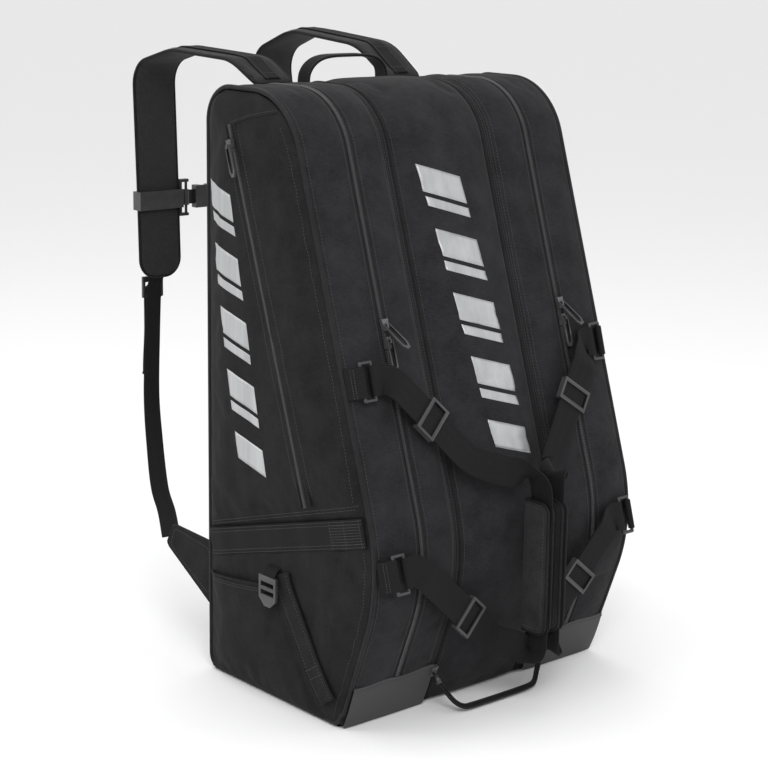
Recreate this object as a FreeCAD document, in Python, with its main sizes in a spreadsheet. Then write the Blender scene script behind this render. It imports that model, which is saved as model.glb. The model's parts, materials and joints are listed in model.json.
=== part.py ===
import FreeCAD, Part
import math
import os
import Sketcher

V = FreeCAD.Vector

# Racket tournament bag standing on its base.  Millimetres, +Z up, floor at Z = 0.
# The front faces -Y, the back with the shoulder straps faces +Y, and X = 0 is the
# bag's plane of symmetry.  The origin is under the bag, on the floor.

DIMENSIONS = [
    ("bag_height", 770, "base to top"),
    ("half_width", 223, "symmetry plane to the side piping"),
    ("back_y", 134, "outer face of the back panel"),
    ("foot_y", -133, "front edge of the base"),
    ("lower_lean", 20, "degrees the lower front leans out"),
    ("upper_lean", 17.7, "degrees the upper front leans back"),
    ("upper_y", -145, "upper front surface at upper_z"),
    ("upper_z", 400, "height where upper_y is measured"),
    ("nose_radius", 219, "roundness of the front's widest part"),
    ("brow_radius", 95, "roundness of the top front"),
    ("crown_radius", 45, "roundness of the top back"),
    ("foot_radius", 18, "roundness of the base's front edge"),
    ("fabric", 4, "padded fabric wall"),
    ("back_seam_z", 724, "seam between top and back panel"),
    ("piping_width", 6.4, "moulded piping across the seam"),
    ("zip_x", 150, "centre of the main zips"),
    ("zip_width", 13.6, "zip tape between the panels"),
    ("coil_width", 6, "zip coil"),
    ("coil_rise", 2.2, "zip coil above its tape"),
    ("seam_x", 84, "centre of the covered seams"),
    ("seam_width", 12, "covering strip"),
    ("guard_height", 60, "coated guard above the floor"),
    ("ridge", 6, "crown of the fabric at the main zips"),
    ("belly", 10, "crown of the centre panel"),
    ("divider", 3, "divider board between the compartments"),
    ("side_face", 222, "outer face of the side panels"),
    ("dish_depth", 14, "swell of the side covers"),
    ("band_back_z", 196, "top of the side bands at the back"),
    ("band_front_z", 282, "top of the side bands at the front"),
    ("band_width", 36, "webbing band on the sides"),
    ("webbing_width", 38, "carry webbing"),
    ("webbing_thick", 2.6, "carry webbing, both layers"),
    ("bar_radius", 2.25, "rod of the rectangular rings"),
    ("ring_length", 50, "rectangular ring, along the webbing's width"),
    ("ring_width", 16, "rectangular ring, bar centre to bar centre"),
    ("handle_x", 205, "swing axis of the carry handles"),
    ("handle_stand", 17, "swing axis above the front surface, upper ring"),
    ("lower_stand", 20, "the same at the lower ring"),
    ("upper_anchor_z", 434, "upper handle ring"),
    ("lower_anchor_z", 216, "lower handle ring"),
    ("glide_length", 30, "tri-glide along the webbing"),
    ("glide_bar", 5, "bars of the tri-glide"),
    ("grip_length", 170, "padded grip"),
    ("grip_depth", 44.5, "padded grip, away from the bag"),
    ("grip_wall", 5, "padding on each side of the webbing"),
    ("grip_low_z", 105, "lower end of the grips"),
    ("grip_y", -242, "webbing inside the grips"),
    ("grip_tail", 24, "straight webbing beyond each end of a grip"),
    ("strap_stand", 27, "carry webbing above the upper front"),
    ("pad_width", 68, "shoulder pad"),
    ("pad_thick", 11, "shoulder pad"),
    ("pad_x", 110, "centre of the shoulder pads"),
    ("strap_width", 25, "narrow webbing"),
    ("strap_thick", 2.4, "narrow webbing"),
    ("sternum_z", 587, "sternum strap"),
    ("sternum_y", 408.6, "sternum strap and the pads' lower run"),
    ("slider_length", 14, "zip slider"),
    ("slider_width", 10.5, "zip slider"),
    ("slider_height", 5, "zip slider above the coil"),
    ("pull_length", 38, "zip pull"),
    ("pull_width", 10, "zip pull"),
    ("pull_thick", 2.6, "zip pull"),
    ("loop_drop", 56, "pull loop below the centre sliders"),
]

doc = FreeCAD.newDocument("racket_bag")
sheet = doc.addObject("Spreadsheet::Sheet", "Dims")
for row, (alias, value, meaning) in enumerate(DIMENSIONS, start=1):
    sheet.set(f"A{row}", alias)
    sheet.set(f"B{row}", str(value))
    sheet.set(f"C{row}", meaning)
    sheet.setAlias(f"B{row}", alias)
doc.recompute()

D = {alias: float(sheet.get(alias)) for alias, value, meaning in DIMENSIONS}
SUB_PARTS = []
PIVOTS = {}

GAP = 0.3
PANEL_INSET = 4.6
PANEL_BASE_Z = 6.8
COVER_WALL = 3
BAND_THICK = 3
SHOE_POCKET_DEPTH = 15

# Ends of the side pocket's zip as (y, z), and how far up it the slider rests.
POCKET_ZIP_TOP = (62, 716)
POCKET_ZIP_LOW = (-84, 284)
POCKET_ZIP_LENGTH = 456
POCKET_COIL_RISE = 3.4
POCKET_SLIDER_UP = 214

# Eye of a zip slider and the pin that turns in it.
EYE_Y = -1.5
EYE_RADIUS = 1.6
PIN_HEIGHT = D["slider_height"] + 2.0
PIN_RADIUS = 0.8
PULL_FORK = 5.0
CENTRE_SLIDER_Z = 52


# ---------------------------------------------------------------- plain helpers

def keep(thing, label):
    """Gives a finished sub-part its name and puts it on the list of files."""
    thing.Label = label
    SUB_PARTS.append(thing)
    return thing


def shape_part(label, shape):
    """A sub-part whose shape comes straight from Part's functions."""
    thing = doc.addObject("Part::Feature", label)
    thing.Shape = shape
    return keep(thing, label)


def joined(shapes):
    """One solid from shapes that overlap."""
    whole = shapes[0].multiFuse(shapes[1:])
    return whole.removeSplitter()


def placed(origin, x_axis, z_axis):
    """Placement whose local X and Z lie along the two given directions."""
    z = V(z_axis).normalize()
    y = z.cross(V(x_axis)).normalize()
    x = y.cross(z).normalize()
    turn = FreeCAD.Matrix(x.x, y.x, z.x, 0, x.y, y.y, z.y, 0, x.z, y.z, z.z, 0, 0, 0, 0, 1)
    return FreeCAD.Placement(origin, FreeCAD.Rotation(turn))


def moved(shape, placement):
    shape = shape.copy()
    shape.Placement = placement.multiply(shape.Placement)
    return shape


def centred_box(length, width, height, at=V(0, 0, 0)):
    """Box with its centre at the given point."""
    return Part.makeBox(length, width, height, at - V(length, width, height) / 2)


def plate(points, direction):
    """Flat polygon swept along a vector."""
    outline = Part.makePolygon(list(points) + [points[0]])
    return Part.Face(outline).extrude(direction)


def rod(start, end, radius):
    return Part.makeCylinder(radius, (end - start).Length, start, end - start)


def body_with_pad(label, frame, loops, thickness):
    """PartDesign body: closed loops of points in its XY plane, padded both ways.
    The first loop is the outside and the others are holes."""
    body = doc.addObject("PartDesign::Body", label)
    sketch = body.newObject("Sketcher::SketchObject", label + "_sketch")
    plane = [f for f in body.Origin.OriginFeatures if f.Role == "XY_Plane"][0]
    sketch.AttachmentSupport = [(plane, "")]
    sketch.MapMode = "FlatFace"
    for loop in loops:
        first = len(sketch.Geometry)
        for here, there in zip(loop, loop[1:] + loop[:1]):
            sketch.addGeometry(Part.LineSegment(V(*here, 0), V(*there, 0)), False)
        for k in range(len(loop)):
            following = first + (k + 1) % len(loop)
            sketch.addConstraint(Sketcher.Constraint("Coincident", first + k, 2, following, 1))
    pad = body.newObject("PartDesign::Pad", label + "_pad")
    pad.Profile = sketch
    pad.SideType = "Symmetric"
    pad.setExpression("Length", thickness)
    sketch.Visibility = False
    doc.recompute()
    body.Placement = frame
    return keep(body, label)


# ------------------------------------------------------ the bag's side outline

TAN_LOW = math.tan(math.radians(D["lower_lean"]))
TAN_UP = math.tan(math.radians(D["upper_lean"]))
NOSE_Z = (D["foot_y"] - D["upper_y"] + TAN_UP * D["upper_z"]) / (TAN_LOW + TAN_UP)
NOSE_Y = D["foot_y"] - TAN_LOW * NOSE_Z
BROW_Y = D["upper_y"] + TAN_UP * (D["bag_height"] - D["upper_z"])
UP = V(0, math.sin(math.radians(D["upper_lean"])), math.cos(math.radians(D["upper_lean"])))
UP_OUT = V(0, -UP.z, UP.y)
LOW_UP = V(0, -math.sin(math.radians(D["lower_lean"])), math.cos(math.radians(D["lower_lean"])))
LOW_OUT = V(0, -LOW_UP.z, LOW_UP.y)


def rounded(points, radii):
    """Edges through the points, with an arc of the given radius at each inner one."""
    edges = []
    start = points[0]
    for before, corner, after, radius in zip(points, points[1:], points[2:], radii):
        back = (before - corner).normalize()
        ahead = (after - corner).normalize()
        half = back.getAngle(ahead) / 2
        cut = radius / math.tan(half)
        towards = (back + ahead).normalize()
        middle = corner + towards * (radius / math.sin(half) - radius)
        edges.append(Part.LineSegment(start, corner + back * cut).toShape())
        edges.append(Part.Arc(corner + back * cut, middle, corner + ahead * cut).toShape())
        start = corner + ahead * cut
    edges.append(Part.LineSegment(start, points[-1]).toShape())
    return edges


def offset_corners(points, inset):
    """Corners of the open outline moved inwards (to the right of its direction)."""
    lines = []
    for here, there in zip(points, points[1:]):
        along = (there - here).normalize()
        inwards = V(0, along.z, -along.y)
        lines.append((here + inwards * inset, along))
    result = [lines[0][0]]
    for (p, u), (q, w) in zip(lines, lines[1:]):
        across = u.y * w.z - u.z * w.y
        gap = q - p
        result.append(p + u * ((gap.y * w.z - gap.z * w.y) / across))
    last_point = points[-1] - points[-2]
    result.append(lines[-1][0] + last_point)
    return result


def front_corners(x, crown):
    """Foot, nose, brow, crown and heel of the outline at one x; crown swells it."""
    return [
        V(x, D["foot_y"] - 0.3 * crown, 0),
        V(x, NOSE_Y - crown, NOSE_Z),
        V(x, BROW_Y - crown, D["bag_height"] + 0.3 * crown),
        V(x, D["back_y"], D["bag_height"]),
        V(x, D["back_y"], 0),
    ]


def front_path(x, crown, inset, low_z, end_z):
    """Points and radii from low_z at the front, over the top, to end_z at the back."""
    points = offset_corners(front_corners(x, crown), inset)
    rise = points[1] - points[0]
    points[0] = points[0] + rise * ((low_z - points[0].z) / rise.z)
    points[-1] = V(x, points[-1].y, end_z)
    radii = [D["nose_radius"] - inset, D["brow_radius"] - inset, D["crown_radius"] - inset]
    return points, radii


def wall_section(x, crown, outer, inner, low_z, end_z):
    """Closed wire of the front and top wall at one x."""
    out_points, out_radii = front_path(x, crown, outer, low_z, end_z)
    in_points, in_radii = front_path(x, crown, inner, low_z, end_z)
    edges = rounded(out_points, out_radii)
    edges.append(Part.LineSegment(out_points[-1], in_points[-1]).toShape())
    edges += rounded(in_points[::-1], in_radii[::-1])
    edges.append(Part.LineSegment(in_points[0], out_points[0]).toShape())
    return Part.Wire(edges)


def wall(stations, low_z, end_z=None, outer=0.0, inner=None):
    """Front and top wall lofted through (x, crown) stations."""
    end_z = D["back_seam_z"] if end_z is None else end_z
    inner = D["fabric"] if inner is None else inner
    sections = [wall_section(x, crown, outer, inner, low_z, end_z) for x, crown in stations]
    return Part.makeLoft(sections, True, True)


def side_wire(x, inset, base_z):
    """Closed outline of the side, seen along X."""
    points = offset_corners(front_corners(x, 0), inset)
    rise = points[1] - points[0]
    front = points[0] + rise * ((base_z - points[0].z) / rise.z)
    back = V(x, points[-1].y, base_z)
    middle = (front + back) / 2
    radii = [max(D["foot_radius"] - inset, 2), D["nose_radius"] - inset, D["brow_radius"] - inset]
    radii += [D["crown_radius"] - inset, max(D["foot_radius"] - inset, 2)]
    return Part.Wire(rounded([middle, front] + points[1:4] + [back, middle], radii))


def side_plate(x, thickness, inset, base_z):
    return Part.Face(side_wire(x, inset, base_z)).extrude(V(thickness, 0, 0))


def front_y(z, crown=0.0):
    """Y of the front's outer surface at a height, on its straight runs and nose."""
    low = D["foot_y"] - TAN_LOW * z
    high = D["upper_y"] + TAN_UP * (z - D["upper_z"])
    half = math.radians(D["lower_lean"] + D["upper_lean"]) / 2
    reach = D["nose_radius"] * math.tan(half)
    low_end = NOSE_Z - reach * LOW_UP.z
    high_start = NOSE_Z + reach * UP.z
    if low_end < z < high_start:
        foot = V(0, NOSE_Y, NOSE_Z) - LOW_UP * reach
        centre = foot - LOW_OUT * D["nose_radius"]
        return centre.y - math.sqrt(D["nose_radius"] ** 2 - (z - centre.z) ** 2) - crown
    return max(low, high) - crown


def on_upper(x, z, stand):
    """Point over the upper front, stand above its surface at height z."""
    return V(x, D["upper_y"] + TAN_UP * (z - D["upper_z"]), z) + UP_OUT * stand


# ------------------------------------------------------------- the bag's shell

half_width = D["half_width"]
inside_x = half_width - D["piping_width"] / 2 - GAP
zip_in = D["zip_x"] - D["zip_width"] / 2
zip_out = D["zip_x"] + D["zip_width"] / 2
seam_in = D["seam_x"] - D["seam_width"] / 2
seam_out = D["seam_x"] + D["seam_width"] / 2
floor_gap = D["fabric"] + GAP
guard_top = D["guard_height"] + GAP
SEAM_DIP = -2


def base_panel():
    box = doc.addObject("Part::Box", "base_panel")
    box.setExpression("Length", f"2 * (Dims.half_width - Dims.piping_width / 2 - {GAP})")
    box.setExpression("Width", "Dims.back_y - Dims.foot_y - 2")
    box.setExpression("Height", "Dims.fabric")
    box.Placement.Base = V(-inside_x, D["foot_y"] + 1, 0)
    keep(box, "base_panel")


def back_panel():
    box = doc.addObject("Part::Box", "back_panel")
    box.setExpression("Length", f"2 * (Dims.half_width - Dims.piping_width / 2 - {GAP})")
    box.setExpression("Width", "Dims.fabric")
    box.setExpression("Height", f"Dims.back_seam_z - Dims.fabric - {2 * GAP}")
    box.Placement.Base = V(-inside_x, D["back_y"] - D["fabric"], floor_gap)
    keep(box, "back_panel")


def front_panels():
    edge = seam_out + GAP
    for side, name in ((-1, "left"), (1, "right")):
        outer = [(inside_x, 0), ((inside_x + zip_out) / 2, 6), (zip_out + 0.2, D["ridge"])]
        inner = [(zip_in - 0.2, D["ridge"]), ((zip_in + edge) / 2, 7), (edge, SEAM_DIP)]
        for part_name, stations in (("outer_front", outer), ("inner_front", inner)):
            stations = [(side * x, crown) for x, crown in stations]
            shape_part(f"{name}_{part_name}", wall(sorted(stations), guard_top))
    edge = seam_in - GAP
    centre = [(-edge, SEAM_DIP), (-0.7 * edge, 6), (0, D["belly"]), (0.7 * edge, 6), (edge, SEAM_DIP)]
    shape_part("centre_front", wall(centre, floor_gap))


def base_guards():
    """Coated guards round the lower front of both side compartments."""
    for side, name in ((-1, "left"), (1, "right")):
        stations = []
        for z in (floor_gap, D["guard_height"]):
            stations.append((D["foot_y"] - TAN_LOW * z, z))
        inner = D["fabric"]
        points = [V(0, stations[0][0] - 1, stations[0][1]), V(0, stations[1][0] - 1, stations[1][1])]
        points += [V(0, stations[1][0] + inner, stations[1][1]), V(0, stations[0][0] + inner, stations[0][1])]
        start = side * (seam_out + GAP)
        moved_points = [p + V(start, 0, 0) for p in points]
        shape_part(f"{name}_base_guard", plate(moved_points, V(side * (inside_x - seam_out - GAP), 0, 0)))


def strips(name, centre_x, width, coil, crown, low_z, coil_offset=0.0):
    """Two mirrored tapes along the front, each with a raised bead."""
    solids = []
    for side in (-1, 1):
        x = side * centre_x
        tape = wall([(x - width / 2, crown), (x + width / 2, crown)], low_z, inner=3.0)
        bead_x = x + side * coil_offset
        bead = wall([(bead_x - coil / 2, crown), (bead_x + coil / 2, crown)], low_z,
                    outer=-D["coil_rise"], inner=1.0)
        solids.append(joined([tape, bead]))
    shape_part(name, Part.makeCompound(solids))


def side_pipings():
    rings = []
    for side in (-1, 1):
        x = side * half_width - D["piping_width"] / 2
        outside = side_plate(x, D["piping_width"], -2.2, 0)
        inside = side_plate(x - 1, D["piping_width"] + 2, 4.2, 6.4)
        rings.append(outside.cut(inside))
    shape_part("side_pipings", Part.makeCompound(rings))


def side_panels():
    for side, name in ((-1, "left"), (1, "right")):
        x = -D["side_face"] if side < 0 else D["side_face"] - D["fabric"]
        shape_part(f"{name}_side_panel", side_plate(x, D["fabric"], PANEL_INSET, PANEL_BASE_Z))


def dividers():
    boards = []
    for side in (-1, 1):
        x = side * D["seam_x"] - D["divider"] / 2
        boards.append(side_plate(x, D["divider"], 9, floor_gap))
    shape_part("dividers", Part.makeCompound(boards))


def cover_wire(x, scale):
    """Outline of a side cover, above the slanted webbing band."""
    centre = V(x, 20, 470)
    back = D["back_y"] - 10
    corners = [
        V(x, front_y(D["band_front_z"] + 6) + 18, D["band_front_z"] + 6),
        V(x, D["upper_y"] + TAN_UP * 330 + 18, 730),
        V(x, back, 730),
        V(x, back, D["band_back_z"] + 6),
    ]
    corners = [centre + (p - centre) * scale for p in corners]
    low = (corners[0] + corners[3]) / 2
    radii = [12 * scale, 70 * scale, 30 * scale, 12 * scale]
    return Part.Wire(rounded([low] + corners + [low], radii))


def side_covers():
    """Swelling outer layer of each side, hollow towards the panel behind it."""
    for side, name in ((-1, "left_pocket_cover"), (1, "right_side_cover")):
        base_x = side * (D["side_face"] + GAP)
        dome = Part.makeLoft([cover_wire(base_x, 1.0), cover_wire(base_x + side * D["dish_depth"], 0.74)],
                             True, True)
        hollow = dome.copy()
        hollow.translate(V(-side * COVER_WALL, 0, 0))
        shape_part(name, dome.cut(hollow))


def side_bands():
    """Webbing bands that rise towards the front on both sides."""
    bands = []
    front = front_y(D["band_front_z"]) + 8
    points = [(128, D["band_back_z"]), (front, D["band_front_z"])]
    points += [(front, D["band_front_z"] - D["band_width"]), (128, D["band_back_z"] - D["band_width"])]
    for side in (-1, 1):
        x = side * (D["side_face"] + GAP)
        bands.append(plate([V(x, y, z) for y, z in points], V(side * BAND_THICK, 0, 0)))
    shape_part("side_bands", Part.makeCompound(bands))


def shoe_pocket():
    """Open-topped pocket low on the left side, a bent wall with closed ends."""
    x = -(D["side_face"] + GAP)
    outline = [(120, 12), (120, 138), (0, 168), (-20, 150), (-110, 12)]
    mouth = [(116, 17), (116, 190), (3, 190), (-14, 150), (-98, 17)]
    outside = plate([V(x, y, z) for y, z in outline], V(-SHOE_POCKET_DEPTH, 0, 0))
    inside = plate([V(x + 1, y, z) for y, z in mouth], V(2 - SHOE_POCKET_DEPTH, 0, 0))
    shape_part("shoe_pocket", outside.cut(inside))


def shoe_pocket_strap():
    x = -(D["side_face"] + GAP)
    points = [(-22, 176), (-52, 184), (-134, 46), (-114, 30)]
    strap = plate([V(x, y, z) for y, z in points], V(-BAND_THICK, 0, 0))
    shape_part("shoe_pocket_strap", strap)


def pocket_zip():
    """Zip of the left side pocket, parallel to the bag's front edge."""
    tape = centred_box(2, 12, POCKET_ZIP_LENGTH)
    coil = centred_box(3.6, 5, POCKET_ZIP_LENGTH, V(1.8 - POCKET_COIL_RISE, 0, 0))
    shape_part("pocket_zip", moved(joined([tape, coil]), pocket_zip_frame()))


def pocket_zip_frame(stand=0.0, slide=0.0):
    """Frame at the pocket zip: local Z up along the zip, local -X outwards."""
    y0, z0 = POCKET_ZIP_TOP
    y1, z1 = POCKET_ZIP_LOW
    along = V(0, y0 - y1, z0 - z1).normalize()
    middle = V(-(D["side_face"] + GAP + D["dish_depth"] + 1.3) - stand, (y0 + y1) / 2, (z0 + z1) / 2)
    return placed(middle + along * slide, V(1, 0, 0), along)


base_panel()
back_panel()
front_panels()
base_guards()
strips("main_zips", D["zip_x"], D["zip_width"], D["coil_width"], D["ridge"], guard_top)
strips("centre_seams", D["seam_x"], D["seam_width"], 4, SEAM_DIP, floor_gap, coil_offset=3.5)
side_pipings()
side_panels()
dividers()
side_covers()
side_bands()
shoe_pocket()
shoe_pocket_strap()


# ---------------------------------------------------------- zip sliders, pulls

def slider_shape():
    """Slider with its bridge; local Y points up the zip, local Z outwards.
    Its underside is at Z = 0 and the pull's pin turns in the bridge."""
    w, l, h = D["slider_width"], D["slider_length"], D["slider_height"]
    plate_shape = plate([V(-w / 2, l / 2, 0), V(-w * 0.3, -l / 2, 0), V(w * 0.3, -l / 2, 0),
                         V(w / 2, l / 2, 0)], V(0, 0, h))
    bridge = centred_box(2.4, 5, 4.6, V(0, EYE_Y, h + 1.8))
    eye = Part.makeCylinder(EYE_RADIUS, 8, V(-4, EYE_Y, PIN_HEIGHT), V(1, 0, 0))
    return joined([plate_shape, bridge]).cut(eye)


def pull_shape():
    """Teardrop pull: a pin in the slider's bridge, a fork and an open loop.
    Local origin at the pin, local -Y along the pull, local Z outwards."""
    half = D["pull_width"] / 2
    length = D["pull_length"]
    fork = PULL_FORK / 2
    frame = [V(-half * 0.84, 1.3, 0), V(half * 0.84, 1.3, 0), V(half, -length * 0.8, 0),
             V(half * 0.55, -length, 0), V(-half * 0.55, -length, 0), V(-half, -length * 0.8, 0)]
    slot = [V(-fork, 4, -1), V(fork, 4, -1), V(fork, -6, -1), V(half * 0.55, -length * 0.76, -1),
            V(half * 0.3, -length * 0.88, -1), V(-half * 0.3, -length * 0.88, -1),
            V(-half * 0.55, -length * 0.76, -1), V(-fork, -6, -1)]
    body = plate(frame, V(0, 0, D["pull_thick"])).cut(plate(slot, V(0, 0, D["pull_thick"] + 2)))
    body.translate(V(0, 0, -D["pull_thick"] / 2))
    pin = Part.makeCylinder(PIN_RADIUS, PULL_FORK + 1.4, V(-fork - 0.7, 0, 0), V(1, 0, 0))
    return joined([body, pin])


def main_slider_frame(side, z, point_up):
    """Frame on the main zip's coil at a height; local Y up or down the zip."""
    origin = on_upper(side * D["zip_x"], z, D["ridge"] + D["coil_rise"] + GAP)
    along = UP if point_up else UP * -1
    return placed(origin, along.cross(UP_OUT), UP_OUT)


def add_slider(name, frame, travel):
    shape_part(name, moved(slider_shape(), frame))
    PIVOTS[name] = (frame.Base, travel)


def add_pull(name, frame, turn=0.0, tilt=0.0):
    """The pull hangs from the slider's eye, turned on the surface and tilted off it."""
    origin = frame.multVec(V(0, EYE_Y, PIN_HEIGHT))
    rotation = frame.Rotation.multiply(FreeCAD.Rotation(V(0, 0, 1), turn))
    rotation = rotation.multiply(FreeCAD.Rotation(V(1, 0, 0), -tilt))
    local = FreeCAD.Placement(origin, rotation)
    shape_part(name, moved(pull_shape(), local))
    PIVOTS[name] = (origin, rotation.multVec(V(-1, 0, 0)))


MAIN_SLIDERS = (("left", -1, 495, 474), ("right", 1, 489, 468))
for name, side, upper_z, lower_z in MAIN_SLIDERS:
    upper = main_slider_frame(side, upper_z, True)
    lower = main_slider_frame(side, lower_z, False)
    add_slider(f"{name}_upper_slider", upper, UP)
    add_slider(f"{name}_lower_slider", lower, UP)
    add_pull(f"{name}_upper_pull", upper, turn=24, tilt=24)
    add_pull(f"{name}_lower_pull", lower, turn=180)

pocket_zip()
zip_up = V(0, POCKET_ZIP_TOP[0] - POCKET_ZIP_LOW[0], POCKET_ZIP_TOP[1] - POCKET_ZIP_LOW[1]).normalize()
pocket_slider_at = pocket_zip_frame(POCKET_COIL_RISE + GAP, POCKET_SLIDER_UP).Base
pocket_frame = placed(pocket_slider_at, zip_up.cross(V(-1, 0, 0)), V(-1, 0, 0))
add_slider("left_pocket_slider", pocket_frame, zip_up)
add_pull("left_pocket_pull", pocket_frame)

for side, name in ((-1, "left"), (1, "right")):
    y = D["foot_y"] - TAN_LOW * CENTRE_SLIDER_Z
    origin = V(side * (D["seam_x"] + 3.5), y, CENTRE_SLIDER_Z) + LOW_OUT * (D["coil_rise"] + GAP)
    frame = placed(origin, LOW_UP.cross(LOW_OUT), LOW_OUT)
    add_slider(f"{name}_centre_slider", frame, LOW_UP)
    loop_pin = frame.multVec(V(0, EYE_Y, PIN_HEIGHT))


def centre_pull_loop():
    """Strap loop between the two lower sliders, hanging forward to the floor."""
    half = D["seam_x"] + 3.5
    drop = D["loop_drop"]
    outer = [V(-half - 4, 1.2, 0), V(-half - 4, -14, 0), V(-half + 16, -drop, 0), V(half - 30, -drop, 0),
             V(half + 4, -20, 0), V(half + 4, 1.2, 0)]
    inner = [V(-half + 4, 6, 0), V(-half + 4, -10, 0), V(-half + 20, -drop + 8, 0),
             V(half - 32, -drop + 8, 0), V(half - 4, -18, 0), V(half - 4, 6, 0)]
    strap = plate(outer, V(0, 0, 2.4)).cut(plate([p - V(0, 0, 1) for p in inner], V(0, 0, 5)))
    strap.translate(V(0, 0, -1.2))
    for side in (-1, 1):
        slot = centred_box(PULL_FORK, 12, 5, V(side * half, 0, 0))
        strap = strap.cut(slot)
    pin_length = PULL_FORK + 1.4
    pins = [Part.makeCylinder(PIN_RADIUS, pin_length, V(side * half - pin_length / 2, 0, 0), V(1, 0, 0))
            for side in (-1, 1)]
    strap = joined([strap] + pins)
    slope = V(0, -0.62, -0.785)
    frame = placed(V(0, loop_pin.y, loop_pin.z), V(1, 0, 0), V(1, 0, 0).cross(slope * -1))
    shape_part("centre_pull_loop", moved(strap, frame))
    PIVOTS["centre_pull_loop"] = (V(0, loop_pin.y, loop_pin.z), V(-1, 0, 0))


centre_pull_loop()


# --------------------------------------------------------------- carry handles

upper_eye = on_upper(0, D["upper_anchor_z"], D["handle_stand"])
lower_eye = V(0, front_y(D["lower_anchor_z"]) - D["lower_stand"], D["lower_anchor_z"])
SWING = (upper_eye - lower_eye).normalize()


def ring_shape(side):
    """Rectangular ring of round rod; the outer bar is on the swing axis."""
    half = D["ring_length"] / 2 - D["bar_radius"]
    far = -side * D["ring_width"]
    r = D["bar_radius"]
    corners = [V(0, -half, 0), V(0, half, 0), V(far, half, 0), V(far, -half, 0)]
    pieces = [rod(a, b, r) for a, b in zip(corners, corners[1:] + corners[:1])]
    pieces += [Part.makeSphere(r, c) for c in corners]
    return joined(pieces)


def ring_frame(side, eye):
    z_axis = V(1, 0, 0).cross(SWING)
    return placed(V(side * D["handle_x"], eye.y, eye.z), V(1, 0, 0), z_axis)


def anchor_tab(side):
    """Webbing tab: an eye round the ring's bar and a tail back to the side seam."""
    length = D["ring_length"] - 4 * D["bar_radius"] - 1
    r = D["bar_radius"]
    eye = Part.makeCylinder(r + 2.6, length, V(0, -length / 2, 0), V(0, 1, 0))
    hole = Part.makeCylinder(r + 0.5, length + 2, V(0, -length / 2 - 1, 0), V(0, 1, 0))
    tail = [V(side * 1, -length / 2, -2.6), V(side * 1, -length / 2, -4.8),
            V(side * 14, -length / 2, -14.4), V(side * 14, -length / 2, -11.8)]
    return joined([eye, plate(tail, V(0, length, 0))]).cut(hole)


def strip_chain(points, across, width, thick):
    """Flat webbing: one box for each run, each as long as its run plus a little."""
    runs = []
    for start, end, side_way in zip(points, points[1:], across):
        along = end - start
        normal = along.cross(side_way)
        frame = placed((start + end) / 2, along, normal)
        runs.append(moved(centred_box(along.Length + thick, width, thick), frame))
    return joined(runs)


# Webbing of each handle: ring, straight run with its tri-glide, grip, and back.
HANDLES = {
    "left": {"side": -1, "grip_x": 7.0, "upper": [(-158, 422), (-70, 325)], "glide_up": 0.45,
             "lower": [(-158, -220, 206), (-40, -208, 100)], "glide_low": 0.66},
    "right": {"side": 1, "grip_x": 31.0, "upper": [(158, 412), (66, 298)], "glide_up": 0.34,
              "lower": [(160, -220, 206), (68, -208, 97)], "glide_low": 0.52},
}


def glide_shape():
    """Tri-glide; local X along the webbing, local Z outwards, webbing at Z = 0."""
    length, bar = D["glide_length"], D["glide_bar"]
    clear = D["webbing_width"] / 2 + 0.6
    rail = 3.4
    step = D["webbing_thick"] / 2 + 0.4
    rails = [centred_box(length, rail, 2 * step + 4.8, V(0, s * (clear + rail / 2), 0)) for s in (-1, 1)]
    span = 2 * (clear + rail)
    tops = [centred_box(bar, span, 2.4, V(s * (length - bar) / 2, 0, step + 1.2)) for s in (-1, 1)]
    under = centred_box(bar, span, 2.4, V(0, 0, -step - 1.2))
    return joined(rails + tops + [under])


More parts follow.
